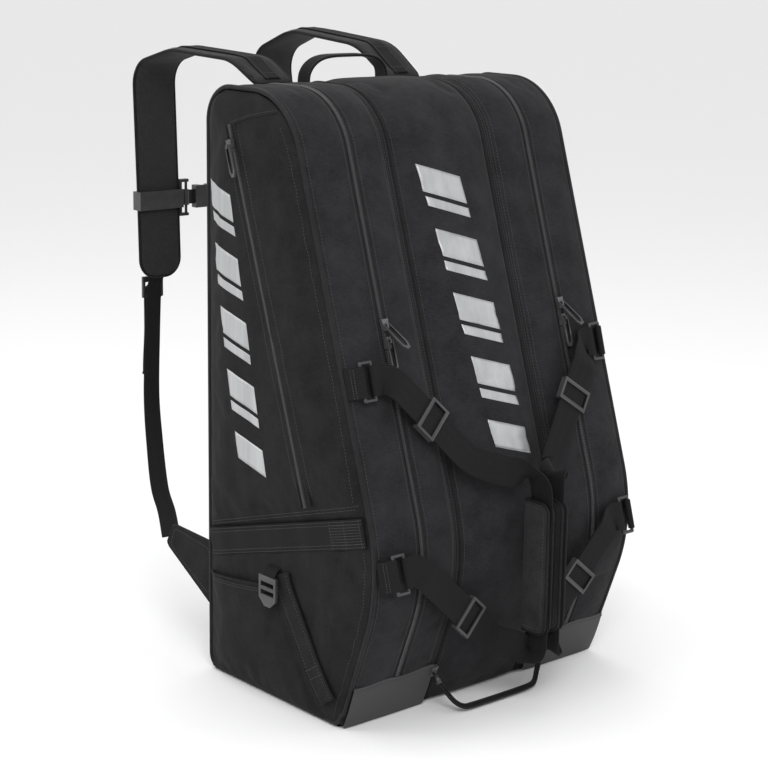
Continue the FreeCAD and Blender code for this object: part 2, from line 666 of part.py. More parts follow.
def carry_handle(name, data):
    side = data["side"]
    grip_x = data["grip_x"]
    ring_x = side * (D["handle_x"] - D["ring_width"] - D["bar_radius"] - 1.9)
    upper_frame = ring_frame(side, upper_eye)
    lower_frame = ring_frame(side, lower_eye)
    rings = [moved(ring_shape(side), upper_frame), moved(ring_shape(side), lower_frame)]
    shape_part(f"{name}_handle_rings", Part.makeCompound(rings))

    top = [on_upper(x, z, D["strap_stand"]) for x, z in data["upper"]]
    low = [V(*p) for p in data["lower"]]
    grip_top = V(grip_x, D["grip_y"], D["grip_low_z"] + D["grip_length"] + D["grip_tail"])
    grip_low = V(grip_x, D["grip_y"], D["grip_low_z"] - D["grip_tail"])
    start = V(ring_x, upper_eye.y, upper_eye.z)
    finish = V(ring_x, lower_eye.y, lower_eye.z)
    clear = V(-side * 13, 0, 0)
    points = [start, start + clear, top[0], top[1], grip_top]
    points += [grip_low, low[1], low[0], finish + clear, finish]
    top_way = (top[1] - top[0]).cross(UP_OUT)
    low_face = V(0, -1, 0)
    low_way = (low[0] - low[1]).cross(low_face)
    to_grip = (grip_top - top[1]).cross(V(0, -1, 0))
    from_grip = (low[1] - grip_low).cross(V(0, -1, 0))
    across = [SWING, SWING, top_way, to_grip, V(0, 1, 0), from_grip, low_way, SWING, SWING]
    webbing = strip_chain(points, across, D["webbing_width"], D["webbing_thick"])
    shape_part(f"{name}_handle_webbing", webbing)

    glide_at = top[0] + (top[1] - top[0]) * data["glide_up"]
    frame = placed(glide_at, top[1] - top[0], UP_OUT)
    shape_part(f"{name}_upper_glide", moved(glide_shape(), frame))
    PIVOTS[f"{name}_upper_glide"] = (glide_at, (top[1] - top[0]).normalize())
    glide_at = low[0] + (low[1] - low[0]) * data["glide_low"]
    normal = (low[1] - low[0]).cross(low_way)
    if normal.y > 0:
        normal = normal * -1
    shape_part(f"{name}_lower_glide", moved(glide_shape(), placed(glide_at, low[1] - low[0], normal)))
    PIVOTS[f"{name}_lower_glide"] = (glide_at, (low[1] - low[0]).normalize())

    slot = D["webbing_thick"] / 2 + 0.4
    wide = slot + D["grip_wall"]
    deep = D["webbing_width"] / 2 + 0.6
    out = D["grip_depth"] - deep - D["grip_wall"]
    loop = [(-wide, deep + D["grip_wall"]), (wide, deep + D["grip_wall"]), (wide, -out), (slot, -out),
            (slot, deep), (-slot, deep), (-slot, -out), (-wide, -out)]
    grip_middle = V(grip_x, D["grip_y"], D["grip_low_z"] + D["grip_length"] / 2)
    grip_frame = FreeCAD.Placement(grip_middle, FreeCAD.Rotation())
    body_with_pad(f"{name}_grip", grip_frame, [loop], "Dims.grip_length")


tabs = []
for side in (-1, 1):
    for eye in (upper_eye, lower_eye):
        tabs.append(moved(anchor_tab(side), ring_frame(side, eye)))
shape_part("anchor_tabs", Part.makeCompound(tabs))
for name, data in HANDLES.items():
    carry_handle(name, data)
for side, name in ((-1, "left"), (1, "right")):
    PIVOTS[f"{name}_carry_handle"] = (upper_eye + V(side * D["handle_x"], 0, 0), SWING * side)


# ------------------------------------------------------------- shoulder straps

def ribbon(points, radii, x, width, thick):
    """Flat strap that stays in one YZ plane: its centreline and rounded bends."""
    outer = offset_corners(points, -thick / 2)
    inner = offset_corners(points, thick / 2)
    out_radii = [r + thick / 2 * s for r, s in radii]
    in_radii = [r - thick / 2 * s for r, s in radii]
    edges = rounded(outer, out_radii)
    edges.append(Part.LineSegment(outer[-1], inner[-1]).toShape())
    edges += rounded(inner[::-1], in_radii[::-1])
    edges.append(Part.LineSegment(inner[0], outer[0]).toShape())
    return Part.Face(Part.Wire(edges)).extrude(V(width, 0, 0))


PAD_ROUTES = {
    "left": [(144, 767), (196, 795), (330, 800), (418, 776), (410, 600), (406, 478)],
    "right": [(144, 767), (205, 808), (350, 820), (438, 785), (410, 612), (406, 478)],
}
STRAP_END = V(-214, 236, 156)


def shoulder_pad(name, side):
    width = D["pad_width"]
    x = side * D["pad_x"] - width / 2
    points = [V(x, y, z) for y, z in PAD_ROUTES[name]]
    bends = [(90, 1), (90, 1), (38, 1), (300, 1)]
    shape = ribbon(points, bends, x, width, D["pad_thick"])
    shape_part(f"{name}_shoulder_pad", shape)


def lower_webbing(name, side):
    """Adjusting webbing from the pad's end to the corner wing."""
    x = side * D["pad_x"]
    end = V(side * -STRAP_END.x, STRAP_END.y, STRAP_END.z)
    points = [V(x, 420, 478), V(x + side * 3, 420, 452), V(x + side * 24, 398, 310),
              V(x + side * 62, 322, 200), end]
    across = [V(1, 0, 0), V(1, 0, 0), V(1, 0.1 * side, 0), V(1, 0.5 * side, 0)]
    shape = strip_chain(points, across, D["strap_width"], D["strap_thick"])
    shape_part(f"{name}_strap_webbing", shape)


def ladder_lock(name, frame, pointed):
    """Ladder lock frame; local Y up, local Z outwards, hinge bar at the top."""
    half = D["strap_width"] / 2 + 4.5
    low = -36 if pointed else -30
    outside = [(-half, 4), (half, 4), (half, -26), (half * 0.35, low), (-half * 0.35, low), (-half, -26)]
    inner = half - 4
    windows = [[(-inner, top), (-inner, top - 6), (inner, top - 6), (inner, top)] for top in (-4, -15)]
    return body_with_pad(name, frame, [outside] + windows, "Dims.bar_radius * 1.6")


def strap_wings():
    wings = []
    for side in (-1, 1):
        x = side * 216
        points = [(134.4, 172), (134.4, 84), (240, 146), (224, 176)]
        wings.append(plate([V(x, y, z) for y, z in points], V(side * 2.4, 0, 0)))
    shape_part("strap_wings", Part.makeCompound(wings))


def keeper(name, side):
    """Band round the pad with an upright rod on its inner edge."""
    width = D["pad_width"]
    y = D["sternum_y"]
    outer = centred_box(width + 5, D["pad_thick"] + 7, 26, V(side * D["pad_x"], y, D["sternum_z"]))
    inner = centred_box(width + 0.8, D["pad_thick"] + 3, 30, V(side * D["pad_x"], y, D["sternum_z"]))
    edge = side * (D["pad_x"] - width / 2 - 2.5)
    rod_x = edge - side * 10
    lugs = [centred_box(14, 7, 4, V(edge - side * 5.5, y, D["sternum_z"] + s * 24)) for s in (-1, 1)]
    post = centred_box(3, 7, 52, V(edge + side * 0.6, y, D["sternum_z"]))
    bar = rod(V(rod_x, y, D["sternum_z"] - 24), V(rod_x, y, D["sternum_z"] + 24), 2.0)
    shape_part(name, joined([outer.cut(inner), post, bar] + lugs))
    return V(rod_x, y, D["sternum_z"])


PLUG_LENGTH = 34
PLUG_TRAVEL = 24


def sternum(left_rod, right_rod):
    """Strap between the pads: barrel, buckle halves and webbing.
    The plug is a sleeve on the webbing's end, so that it can draw out of the socket."""
    y, z = left_rod.y, left_rod.z
    barrel = Part.makeCylinder(4.4, 22, V(left_rod.x, y, z - 11), V(0, 0, 1))
    hole = Part.makeCylinder(2.5, 24, V(left_rod.x, y, z - 12), V(0, 0, 1))
    neck = centred_box(12, 2.4, 20, V(left_rod.x + 9, y, z))
    housing_x = left_rod.x + 14
    housing = Part.makeBox(28, 11, 32, V(housing_x, y - 5.5, z - 16))
    cavity = Part.makeBox(26, 7, 26, V(housing_x + 4, y - 3.5, z - 13))
    windows = [Part.makeBox(12, 20, 5, V(housing_x + 9, y - 3, z + s * 14.5 - 2.5)) for s in (-1, 1)]
    female = housing.cut(cavity)
    for window in windows:
        female = female.cut(window)
    shape_part("sternum_socket", joined([female, barrel, neck]).cut(hole))

    plug_x = housing_x + 28.4
    head = Part.makeBox(PLUG_LENGTH, 10, 31, V(plug_x, y - 5, z - 15.5))
    prongs = [Part.makeBox(20, 5, 5, V(plug_x - 19, y - 2.5, z + s * 9 - 2.5)) for s in (-1, 1)]
    sleeve = Part.makeBox(PLUG_LENGTH, 3.6, 26.4, V(plug_x + 3, y - 1.8, z - 13.2))
    shape_part("sternum_plug", joined([head] + prongs).cut(sleeve))

    start = plug_x + 3.6 + PLUG_TRAVEL
    webbing = Part.makeBox(right_rod.x - 7 - start, 2.4, 25, V(start, y - 1.2, z - 12.5))
    outer = centred_box(17, 23, 16, V(right_rod.x, y, z))
    inner = centred_box(12, 18, 20, V(right_rod.x, y, z))
    shape_part("sternum_webbing", joined([webbing, outer.cut(inner)]))


def haul_loop():
    """Grab loop at the top of the back."""
    y = 143
    points = [V(-62, y, 748), V(-62, y, 778), V(-28, y, 798), V(40, y, 798), V(70, y, 780), V(70, y, 748)]
    across = [V(0, 1, 0)] * 5
    shape_part("haul_loop", strip_chain(points, across, 24, 3.4))


for side, name in ((-1, "left"), (1, "right")):
    shoulder_pad(name, side)
    lower_webbing(name, side)
    lock = placed(V(side * (D["pad_x"] + 1), 425.4, 472), V(-1, 0, 0), V(0, 1, 0))
    ladder_lock(f"{name}_ladder_lock", lock, False)
strap_wings()
left_rod = keeper("left_keeper", -1)
right_rod = keeper("right_keeper", 1)
sternum(left_rod, right_rod)
haul_loop()
pocket_lock = placed(V(-(D["side_face"] + GAP + SHOE_POCKET_DEPTH + 3.2), -14, 166), V(0, -1, 0), V(-1, 0, 0))
ladder_lock("pocket_lock", pocket_lock, True)

PIVOTS["haul_loop"] = (V(0, 143, 752), V(1, 0, 0))
PIVOTS["pocket_lock"] = (pocket_lock.Base + V(0, 0, 2), V(0, 1, 0))
PIVOTS["sternum"] = (left_rod, V(0, 0, 1))
for side, name in ((-1, "left"), (1, "right")):
    top = V(side * D["pad_x"], 144, 767)
    low = V(side * -STRAP_END.x, STRAP_END.y, STRAP_END.z)
    PIVOTS[f"{name}_shoulder_strap"] = (top, (top - low).normalize())
    PIVOTS[f"{name}_ladder_lock"] = (V(side * (D["pad_x"] + 1), 425.4, 474), V(1, 0, 0))

doc.recompute()


# ---------------------------------------------------------------- check, write

for thing in doc.Objects:
    if "Invalid" in thing.State or "Error" in thing.State:
        raise RuntimeError(f"{thing.Label} did not compute")

os.makedirs("parts", exist_ok=True)
for thing in SUB_PARTS:
    shape = thing.Shape
    if shape.isNull() or not shape.isValid() or shape.Volume <= 0:
        raise RuntimeError(f"{thing.Label} is not a valid solid")
    shape.exportStep(f"parts/{thing.Label}.step")
    print(thing.Label, len(shape.Solids), round(shape.Volume / 1000, 1))
for name, (point, axis) in PIVOTS.items():
    print("pivot", name, [round(v, 3) for v in point], [round(v, 5) for v in axis])
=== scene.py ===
import math

import bpy
import numpy as np
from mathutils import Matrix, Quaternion, Vector, noise
from mathutils.bvhtree import BVHTree
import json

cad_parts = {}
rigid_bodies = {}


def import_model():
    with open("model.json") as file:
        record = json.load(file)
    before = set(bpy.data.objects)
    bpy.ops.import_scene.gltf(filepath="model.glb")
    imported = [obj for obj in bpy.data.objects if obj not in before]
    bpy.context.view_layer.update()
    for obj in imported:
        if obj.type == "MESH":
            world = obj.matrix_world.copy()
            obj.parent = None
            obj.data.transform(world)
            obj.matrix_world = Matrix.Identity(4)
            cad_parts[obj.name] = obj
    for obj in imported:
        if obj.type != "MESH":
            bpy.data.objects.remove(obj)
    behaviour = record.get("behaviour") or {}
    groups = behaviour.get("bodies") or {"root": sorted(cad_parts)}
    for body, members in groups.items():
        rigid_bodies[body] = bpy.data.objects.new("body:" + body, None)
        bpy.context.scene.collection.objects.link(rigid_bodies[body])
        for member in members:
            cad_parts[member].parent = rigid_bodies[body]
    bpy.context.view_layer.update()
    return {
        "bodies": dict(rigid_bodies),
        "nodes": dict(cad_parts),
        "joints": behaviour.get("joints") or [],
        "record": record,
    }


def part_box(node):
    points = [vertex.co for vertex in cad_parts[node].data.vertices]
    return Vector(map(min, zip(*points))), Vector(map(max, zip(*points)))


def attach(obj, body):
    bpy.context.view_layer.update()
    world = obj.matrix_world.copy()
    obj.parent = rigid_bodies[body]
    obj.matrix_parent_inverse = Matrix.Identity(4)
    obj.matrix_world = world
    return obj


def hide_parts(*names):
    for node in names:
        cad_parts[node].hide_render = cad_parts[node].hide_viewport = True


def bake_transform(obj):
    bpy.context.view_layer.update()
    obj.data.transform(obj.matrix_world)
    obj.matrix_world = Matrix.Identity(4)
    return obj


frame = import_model()
MM = 0.001
SIDES = ((-1, "left"), (1, "right"))
scene = bpy.context.scene

# --------------------------------------------------- the bag's side outline, in mm

HEIGHT, BACK_Y, FOOT_Y = 770.0, 134.0, -133.0
UPPER_Y, UPPER_Z = -145.0, 400.0
UPPER_SLOPE = math.radians(17.7)
TAN_LOW, TAN_UP = math.tan(math.radians(20)), math.tan(UPPER_SLOPE)
NOSE_Z = (FOOT_Y - UPPER_Y + TAN_UP * UPPER_Z) / (TAN_LOW + TAN_UP)
NOSE_Y = FOOT_Y - TAN_LOW * NOSE_Z
BROW_Y = UPPER_Y + TAN_UP * (HEIGHT - UPPER_Z)
RADII = (219.0, 95.0, 45.0)
BACK_SEAM_Z = 724.0
ZIP_X, ZIP_HALF = 150.0, 6.8
SEAM_X, SEAM_HALF = 84.0, 6.0
PIPE_X = 219.8
SIDE_X = 222.4


def unit(v):
    v = np.asarray(v, float)
    return v / np.linalg.norm(v)


def rounded(corner, before, after, radius):
    """Arc that rounds a corner between two directions: its centre, start and end."""
    half = math.acos(np.clip(np.dot(-before, after), -1, 1)) / 2
    cut = radius / math.tan(half)
    centre = corner + unit(after - before) * radius / math.sin(half)
    return centre, corner - before * cut, corner + after * cut


def profile_pieces(crown, out, low_z, end_z):
    """Straight runs and arcs of the outline at one crown, moved outwards by out."""
    p = np.array([(FOOT_Y - 0.3 * crown, 0), (NOSE_Y - crown, NOSE_Z),
                  (BROW_Y - crown, HEIGHT + 0.3 * crown), (BACK_Y, HEIGHT), (BACK_Y, 0)])
    lines = []
    for a, b in zip(p, p[1:]):
        d = unit(b - a)
        lines.append((a + np.array([-d[1], d[0]]) * out, d))
    a, u = lines[0]
    here = a + u * ((low_z - a[1]) / u[1])
    pieces = []
    for (a, u), (b, w), radius in zip(lines, lines[1:], RADII):
        g = b - a
        corner = a + u * ((g[0] * w[1] - g[1] * w[0]) / (u[0] * w[1] - u[1] * w[0]))
        centre, first, last = rounded(corner, u, w, radius + out)
        pieces += [("line", here, first), ("arc", centre, radius + out, first, last)]
        here = last
    return pieces + [("line", here, np.array([lines[3][0][0], end_z]))]


def piece_point(piece, t):
    """Point and outward direction at a fraction of a run or arc."""
    if piece[0] == "line":
        d = unit(piece[2] - piece[1])
        return piece[1] + (piece[2] - piece[1]) * t, np.array([-d[1], d[0]])
    centre, radius, first, last = piece[1:]
    a0 = math.atan2(*(first - centre)[::-1])
    a1 = math.atan2(*(last - centre)[::-1])
    a0 = a0 + 2 * math.pi if a0 < a1 - 1e-9 else a0
    angle = a0 + (a1 - a0) * t
    way = np.array([math.cos(angle), math.sin(angle)])
    return centre + way * radius, way


def make_rows(step, low_z=4.0, end_z=BACK_SEAM_Z):
    """Evenly spaced places (run or arc, fraction) along the outline, and its two ends."""
    rows = []
    for k, piece in enumerate(profile_pieces(6, 0, low_z, end_z)):
        samples = [piece_point(piece, t)[0] for t in np.linspace(0, 1, 12)]
        length = sum(np.linalg.norm(b - a) for a, b in zip(samples, samples[1:]))
        count = max(2, round(length / step))
        rows += [(k, i / count) for i in range(count)]
    return rows + [(6, 1.0)], low_z, end_z


def crown_at(x):
    """Swell of the front at a distance from the plane of symmetry."""
    ax = abs(x)
    if ax < SEAM_X - SEAM_HALF:
        return 10 - 12 * (ax / 78) ** 3
    if ax < SEAM_X + SEAM_HALF:
        return -2.0
    if ax < ZIP_X - ZIP_HALF:
        u = (ax - 90) / 53.2
        return -2 + 8 * min(1, u * 1.7) ** 0.8 + 1.6 * math.sin(math.pi * u)
    if ax < ZIP_X + ZIP_HALF:
        return 6.0
    u = min(1, (ax - 156.8) / 63)
    return 6 - 6 * u ** 3 + 1.2 * math.sin(math.pi * u)


def front_line(x, rows, out=0.0, crown=None):
    """Points in metres and outward directions, over the front at one x in mm."""
    places, low_z, end_z = rows
    pieces = profile_pieces(crown_at(x) if crown is None else crown, out, low_z, end_z)
    line = []
    for k, t in places:
        (y, z), (ny, nz) = piece_point(pieces[k], t)
        line.append((Vector((x, y, z)) * MM, Vector((0, ny, nz))))
    return line


# ---------------------------------------------------------------------- materials

class Nodes:
    """Short way to write a material's nodes."""

    def __init__(self, name):
        self.mat = bpy.data.materials.new(name)
        self.mat.use_nodes = True
        self.tree = self.mat.node_tree
        self.shader = self.tree.nodes["Principled BSDF"]
        self.place = self.add("ShaderNodeTexCoord").outputs["Object"]

    def add(self, kind, **settings):
        node = self.tree.nodes.new(kind)
        for key, value in settings.items():
            if key in node.inputs:
                node.inputs[key].default_value = value
            else:
                setattr(node, key, value)
        return node

    def put(self, socket, value):
        """Links or sets one socket."""
        if isinstance(value, bpy.types.NodeSocket):
            self.tree.links.new(value, socket)
        else:
            socket.default_value = (*value, 1) if isinstance(value, tuple) else value

    def math(self, operation, a, b):
        node = self.add("ShaderNodeMath", operation=operation)
        self.put(node.inputs[0], a)
        self.put(node.inputs[1], b)
        return node.outputs[0]

    def weigh(self, a, share_a, b, share_b):
        return self.math("ADD", self.math("MULTIPLY", a, share_a), self.math("MULTIPLY", b, share_b))

    def mix(self, factor, dark, light):
        node = self.add("ShaderNodeMix", data_type="RGBA")
        for index, value in ((0, factor), (6, dark), (7, light)):
            self.put(node.inputs[index], value)
        return node.outputs[2]

    def spread(self, value, *limits):
        """Value mapped from two limits to two others."""
        node = self.add("ShaderNodeMapRange")
        self.put(node.inputs[0], value)
        for index, limit in enumerate(limits):
            node.inputs[1 + index].default_value = limit
        return node.outputs[0]

    def split(self, vector):
        node = self.add("ShaderNodeSeparateXYZ")
        self.put(node.inputs[0], vector)
        return node.outputs

    def across_and_up(self):
        """Coordinates u across and v up, on front, sides and top alike."""
        x, y, z = self.split(self.place)
        return self.math("ADD", x, y), self.math("ADD", z, self.math("MULTIPLY", y, 0.62))

    def noise(self, scale, detail, rough, stretch=None, source=None):
        source = source or self.place
        if stretch:
            mapping = self.add("ShaderNodeMapping")
            mapping.inputs["Scale"].default_value = stretch
            self.put(mapping.inputs[0], source)
            source = mapping.outputs[0]
        node = self.add("ShaderNodeTexNoise", Scale=scale, Detail=detail, Roughness=rough)
        self.put(node.inputs["Vector"], source)
        return node.outputs["Fac"]

    def bump(self, height, distance, strength, previous=None):
        node = self.add("ShaderNodeBump", Distance=distance, Strength=strength)
        self.put(node.inputs["Height"], height)
        if previous:
            self.put(node.inputs["Normal"], previous)
        return node.outputs[0]

    def wave(self, value, pitch):
        """Ridges along a coordinate, 0 to 1."""
        turn = self.math("SINE", self.math("MULTIPLY", value, 2 * math.pi / pitch), 0.0)
        return self.math("ADD", self.math("MULTIPLY", turn, 0.5), 0.5)

    def done(self, color, roughness, normal=None, **numbers):
        """Fills the shader's sockets; numbers are written with _ for a space."""
        self.put(self.shader.inputs["Base Color"], color)
        self.put(self.shader.inputs["Roughness"], roughness)
        if normal:
            self.put(self.shader.inputs["Normal"], normal)
        for key, value in numbers.items():
            self.put(self.shader.inputs[key.replace("_", " ")], value)
        return self.mat


def woven(name, dark, light, pitch=0.0011, rough=0.86, sheen=0.03):
    """Polyester cloth: a plain weave with uneven yarns over soft dents."""
    n = Nodes(name)
    u, v = n.across_and_up()
    warp = n.noise(900, 2, 0.5, (1.0, 1.0, 0.16))
    weft = n.noise(900, 2, 0.5, (0.16, 0.16, 1.0))
    blotch = n.noise(26, 4, 0.6)
    yarn = n.math("MULTIPLY", n.math("ADD", warp, weft), 0.5)
    tone = n.spread(n.weigh(yarn, 0.5, blotch, 0.5), 0.34, 0.66)
    weave = n.math("MULTIPLY", n.wave(u, pitch), n.wave(v, pitch))
    dents = n.bump(n.noise(22, 3, 0.55, (1.0, 1.0, 0.45)), 0.0045, 0.55)
    normal = n.bump(n.weigh(weave, 0.6, yarn, 0.9), 0.00016, 0.8, dents)
    return n.done(n.mix(tone, dark, light), n.spread(blotch, 0, 1, rough - 0.06, rough + 0.06), normal,
                  Sheen_Weight=sheen, Sheen_Roughness=0.45, Specular_IOR_Level=0.13)


def webbing(name, dark, light, rib=0.0027, rough=0.7):
    """Woven strap: slanted ribs, from the strap's own width and length."""
    n = Nodes(name)
    uv = n.add("ShaderNodeUVMap", uv_map="strap").outputs[0]
    across, along = n.split(uv)[:2]
    twill = n.wave(n.math("ADD", along, n.math("PINGPONG", across, 0.0063)), rib)
    height = n.weigh(twill, 0.7, n.wave(across, 0.0024), 0.35)
    tone = n.weigh(height, 0.5, n.noise(700, 3, 0.6, source=uv), 0.5)
    return n.done(n.mix(tone, dark, light), rough, n.bump(height, 0.0005, 0.9),
                  Sheen_Weight=0.01, Specular_IOR_Level=0.1)


def moulded(name, dark, light, rough, metallic=0.0):
    """Moulded plastic or painted metal: fine grain, and a painted highlight on its sharp edges, broken up by noise."""
    n = Nodes(name)
    rough_and_highlight_noise = n.noise(60, 5, 0.7)
    # painted highlight: sharp convex edges (high pointiness) take the lighter colour; the noise also varies the
    # roughness
    edge = n.spread(n.add("ShaderNodeNewGeometry").outputs["Pointiness"], 0.5, 0.62)
    return n.done(n.mix(n.math("MULTIPLY", edge, rough_and_highlight_noise), dark, light),
                  n.spread(rough_and_highlight_noise, 0, 1, rough - 0.08, rough + 0.12),
                  n.bump(n.noise(1500, 3, 0.6), 0.00006, 0.6), Metallic=metallic)


def coated(name, dark, light):
    """Coated cloth: a smooth face with a faint ripstop grid showing through."""
    n = Nodes(name)
    u, v = n.across_and_up()
    grid = n.math("MAXIMUM", n.wave(u, 0.0024), n.wave(v, 0.0024))
    soft = n.noise(34, 4, 0.6)
    height = n.weigh(grid, 0.4, n.noise(1300, 2, 0.5), 0.6)
    return n.done(n.mix(soft, dark, light), n.spread(soft, 0, 1, 0.5, 0.66), n.bump(height, 0.00007, 0.6))


def air_mesh(name, dark, light):
    """Spacer mesh: small round holes in a knitted face."""
    n = Nodes(name)
    cells = n.add("ShaderNodeTexVoronoi", Scale=430.0, feature="DISTANCE_TO_EDGE")
    n.put(cells.inputs["Vector"], n.place)
    knit = n.spread(cells.outputs["Distance"], 0.05, 0.28, 1.0, 0.0)
    return n.done(n.mix(knit, dark, light), 0.9, n.bump(knit, 0.0004, 0.7))


def silver_print(name):
    """Printed metallic film with long soft streaks."""
    n = Nodes(name)
    streak = n.noise(60, 4, 0.6, (1.0, 1.0, 0.06))
    return n.done(n.mix(streak, (0.27, 0.275, 0.28), (0.56, 0.565, 0.57)), n.spread(streak, 0, 1, 0.34, 0.52),
                  n.bump(n.noise(900, 2, 0.5), 0.00008, 0.6), Metallic=0.6)


CLOTH = woven("charcoal_polyester", (0.0088, 0.0083, 0.0092), (0.0255, 0.0242, 0.0268))
SIDE_CLOTH = woven("side_polyester", (0.0062, 0.0059, 0.0062), (0.0178, 0.017, 0.0179), rough=0.84, sheen=0.02)
BINDING = woven("binding_tape", (0.005, 0.005, 0.0053), (0.0135, 0.0134, 0.0139), 0.0008, 0.7)
PAD_CLOTH = woven("pad_face", (0.0125, 0.0122, 0.013), (0.033, 0.0325, 0.034), rough=0.84, sheen=0.06)
STRAP = webbing("webbing", (0.0026, 0.0026, 0.0027), (0.0175, 0.0176, 0.018))
STRAP_HEM = woven("strap_hem", (0.009, 0.009, 0.0092), (0.024, 0.024, 0.0245), 0.0012, 0.6)
TAPE = webbing("zip_tape", (0.006, 0.006, 0.0064), (0.0165, 0.0167, 0.0173), 0.0012, 0.75)
# for COIL, THREAD, PLASTIC and METAL the second colour is a painted highlight on sharp edges
COIL = moulded("zip_coil", (0.02, 0.02, 0.021), (0.075, 0.075, 0.077), 0.3)
PIPING = woven("piping_cloth", (0.007, 0.007, 0.0072), (0.018, 0.0178, 0.0183), 0.0008, 0.5, 0.04)
THREAD = moulded("thread", (0.02, 0.02, 0.021), (0.06, 0.06, 0.062), 0.55)
PLASTIC = moulded("black_acetal", (0.012, 0.012, 0.0125), (0.075, 0.075, 0.078), 0.36)
METAL = moulded("black_metal", (0.012, 0.012, 0.0125), (0.16, 0.16, 0.165), 0.28, 0.35)
GUARD = coated("coated_guard", (0.021, 0.021, 0.0227), (0.037, 0.037, 0.0392))
MESH = air_mesh("air_mesh", (0.004, 0.004, 0.004), (0.019, 0.019, 0.0195))
PRINT = silver_print("silver_print")


# ------------------------------------------------------------------- mesh helpers

def new_object(name, verts, faces, *materials):
    mesh = bpy.data.meshes.new(name)
    mesh.from_pydata([tuple(v) for v in verts], [], faces)
    mesh.validate()
    mesh.update()
    obj = bpy.data.objects.new(name, mesh)
    scene.collection.objects.link(obj)
    for material in materials:
        mesh.materials.append(material)
    mesh.polygons.foreach_set("use_smooth", [True] * len(mesh.polygons))
    return obj


def grid_faces(rows, cols, closed=False):
    return [(j * cols + i, j * cols + (i + 1) % cols, (j + 1) * cols + (i + 1) % cols, (j + 1) * cols + i)
            for j in range(rows - 1) for i in range(cols if closed else cols - 1)]


def sheet_grid(name, lines, material):
    """Open sheet from equally long lines of points."""
    return new_object(name, [p for line in lines for p in line], grid_faces(len(lines), len(lines[0])), material)


def border(rows, cols):
    """Indices of the outer points of a grid with so many cells."""
    n = cols + 1
    return [j * n + i for j in range(rows + 1) for i in range(n) if i in (0, cols) or j in (0, rows)]


def across_rows(columns):
    """Points of columns of (point, outward), row by row."""
    return [[p for p, out in row] for row in zip(*columns)]


def strap_uv(obj, count, place):
    """Width and length coordinates for webbing; place(row, column) gives both."""
    layer = obj.data.uv_layers.new(name="strap")
    for loop in obj.data.loops:
        layer.data[loop.index].uv = place(*divmod(loop.vertex_index, count))


def finish_piece(obj, body, *nodes):
    if nodes:
        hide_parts(*nodes)
    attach(obj, body)
    return obj


def subdivide(obj):
    modifier = obj.modifiers.new("smooth", "SUBSURF")
    modifier.levels = modifier.render_levels = 1


def billow(obj, pinned, pressure, growth, cap, frames=14, bend=0.4):
    """Blows the cloth out between its pinned points and keeps the result in the mesh."""
    rest = np.array([v.co for v in obj.data.vertices])
    obj.vertex_groups.new(name="pinned").add(pinned, 1.0, "REPLACE")
    modifier = obj.modifiers.new("cloth", "CLOTH")
    settings = modifier.settings
    for key, value in dict(quality=5, mass=0.25, tension_stiffness=12.0, compression_stiffness=12.0,
                           shear_stiffness=12.0 * 0.4, bending_stiffness=bend, air_damping=2.0,
                           use_pressure=True, uniform_pressure_force=pressure, shrink_min=-growth,
                           vertex_group_mass="pinned").items():
        setattr(settings, key, value)
    settings.effector_weights.gravity = 0.0
    modifier.collision_settings.use_collision = False
    modifier.point_cache.frame_start, modifier.point_cache.frame_end = 1, frames + 2
    for step in range(1, frames + 1):
        scene.frame_set(step)
    shape = obj.evaluated_get(bpy.context.evaluated_depsgraph_get()).data
    shift = np.array([v.co for v in shape.vertices]) - rest
    length = np.linalg.norm(shift, axis=1, keepdims=True)
    shift = shift * np.minimum(1.0, cap * np.tanh(length / cap) / np.maximum(length, 1e-9))
    obj.modifiers.remove(modifier)
    obj.data.vertices.foreach_set("co", (rest + shift).ravel())
    obj.data.update()
    scene.frame_set(1)


def tree_of(*objects):
    """Search tree over finished meshes, for laying stitches on them."""
    verts, faces = [], []
    for obj in objects:
        base = len(verts)
        verts += [v.co.copy() for v in obj.data.vertices]
        faces += [tuple(base + i for i in p.vertices) for p in obj.data.polygons]
    return BVHTree.FromPolygons(verts, faces)


def laid_on(tree, line, lift=0.0002, reach=0.03):
    """Each (point, outward) of a line moved onto the surface beneath it."""
    laid = []
    for point, out in line:
        hit = tree.ray_cast(point + out * reach, -out, 2 * reach)
        if hit[0]:
            laid.append((hit[0] + out * lift, out))
    return laid


def resample(line, step):
    """Points every step along a line of (point, outward), with the way along."""
    result, carried = [], 0.0
    for (a, na), (b, nb) in zip(line, line[1:]):
        length = (b - a).length
        if length < 1e-7:
            continue
        at = carried
        while at < length:
            t = at / length
            result.append((a.lerp(b, t), na.lerp(nb, t).normalized(), (b - a) / length))
            at += step
        carried = at - length
    return result


# ------------------------------------------------------------------ straps and cords

def smooth_path(points, count):
    """Catmull-Rom curve through the points."""
    pts = [points[0] * 2 - points[1], *points, points[-1] * 2 - points[-2]]
    spans = len(pts) - 3
    result = []
    for k in range(count):
        s = k / (count - 1) * spans
        i = min(int(s), spans - 1)
        t = s - i
        a, b, c, d = pts[i:i + 4]
        result.append(0.5 * ((2 * b) + (c - a) * t + (2 * a - 5 * b + 4 * c - d) * t * t
                             + (3 * b - a - 3 * c + d) * t * t * t))
    return result


def even_path(points, step):
    """The same curve with points spaced evenly, each with its place along the control points."""
    spans = len(points) - 1
    count = max(60, len(points) * 24)
    rough = smooth_path(points, count)
    result, carried = [(rough[0], 0.0)], 0.0
    for k, (a, b) in enumerate(zip(rough, rough[1:])):
        length = (b - a).length
        at = step - carried
        while at <= length:
            result.append((a.lerp(b, at / length), (k + at / length) / (count - 1) * spans))
            at += step
        carried = length - (at - step)
    if (result[-1][0] - rough[-1]).length < step * 0.4:
        result.pop()
    return result + [(rough[-1], float(spans))]


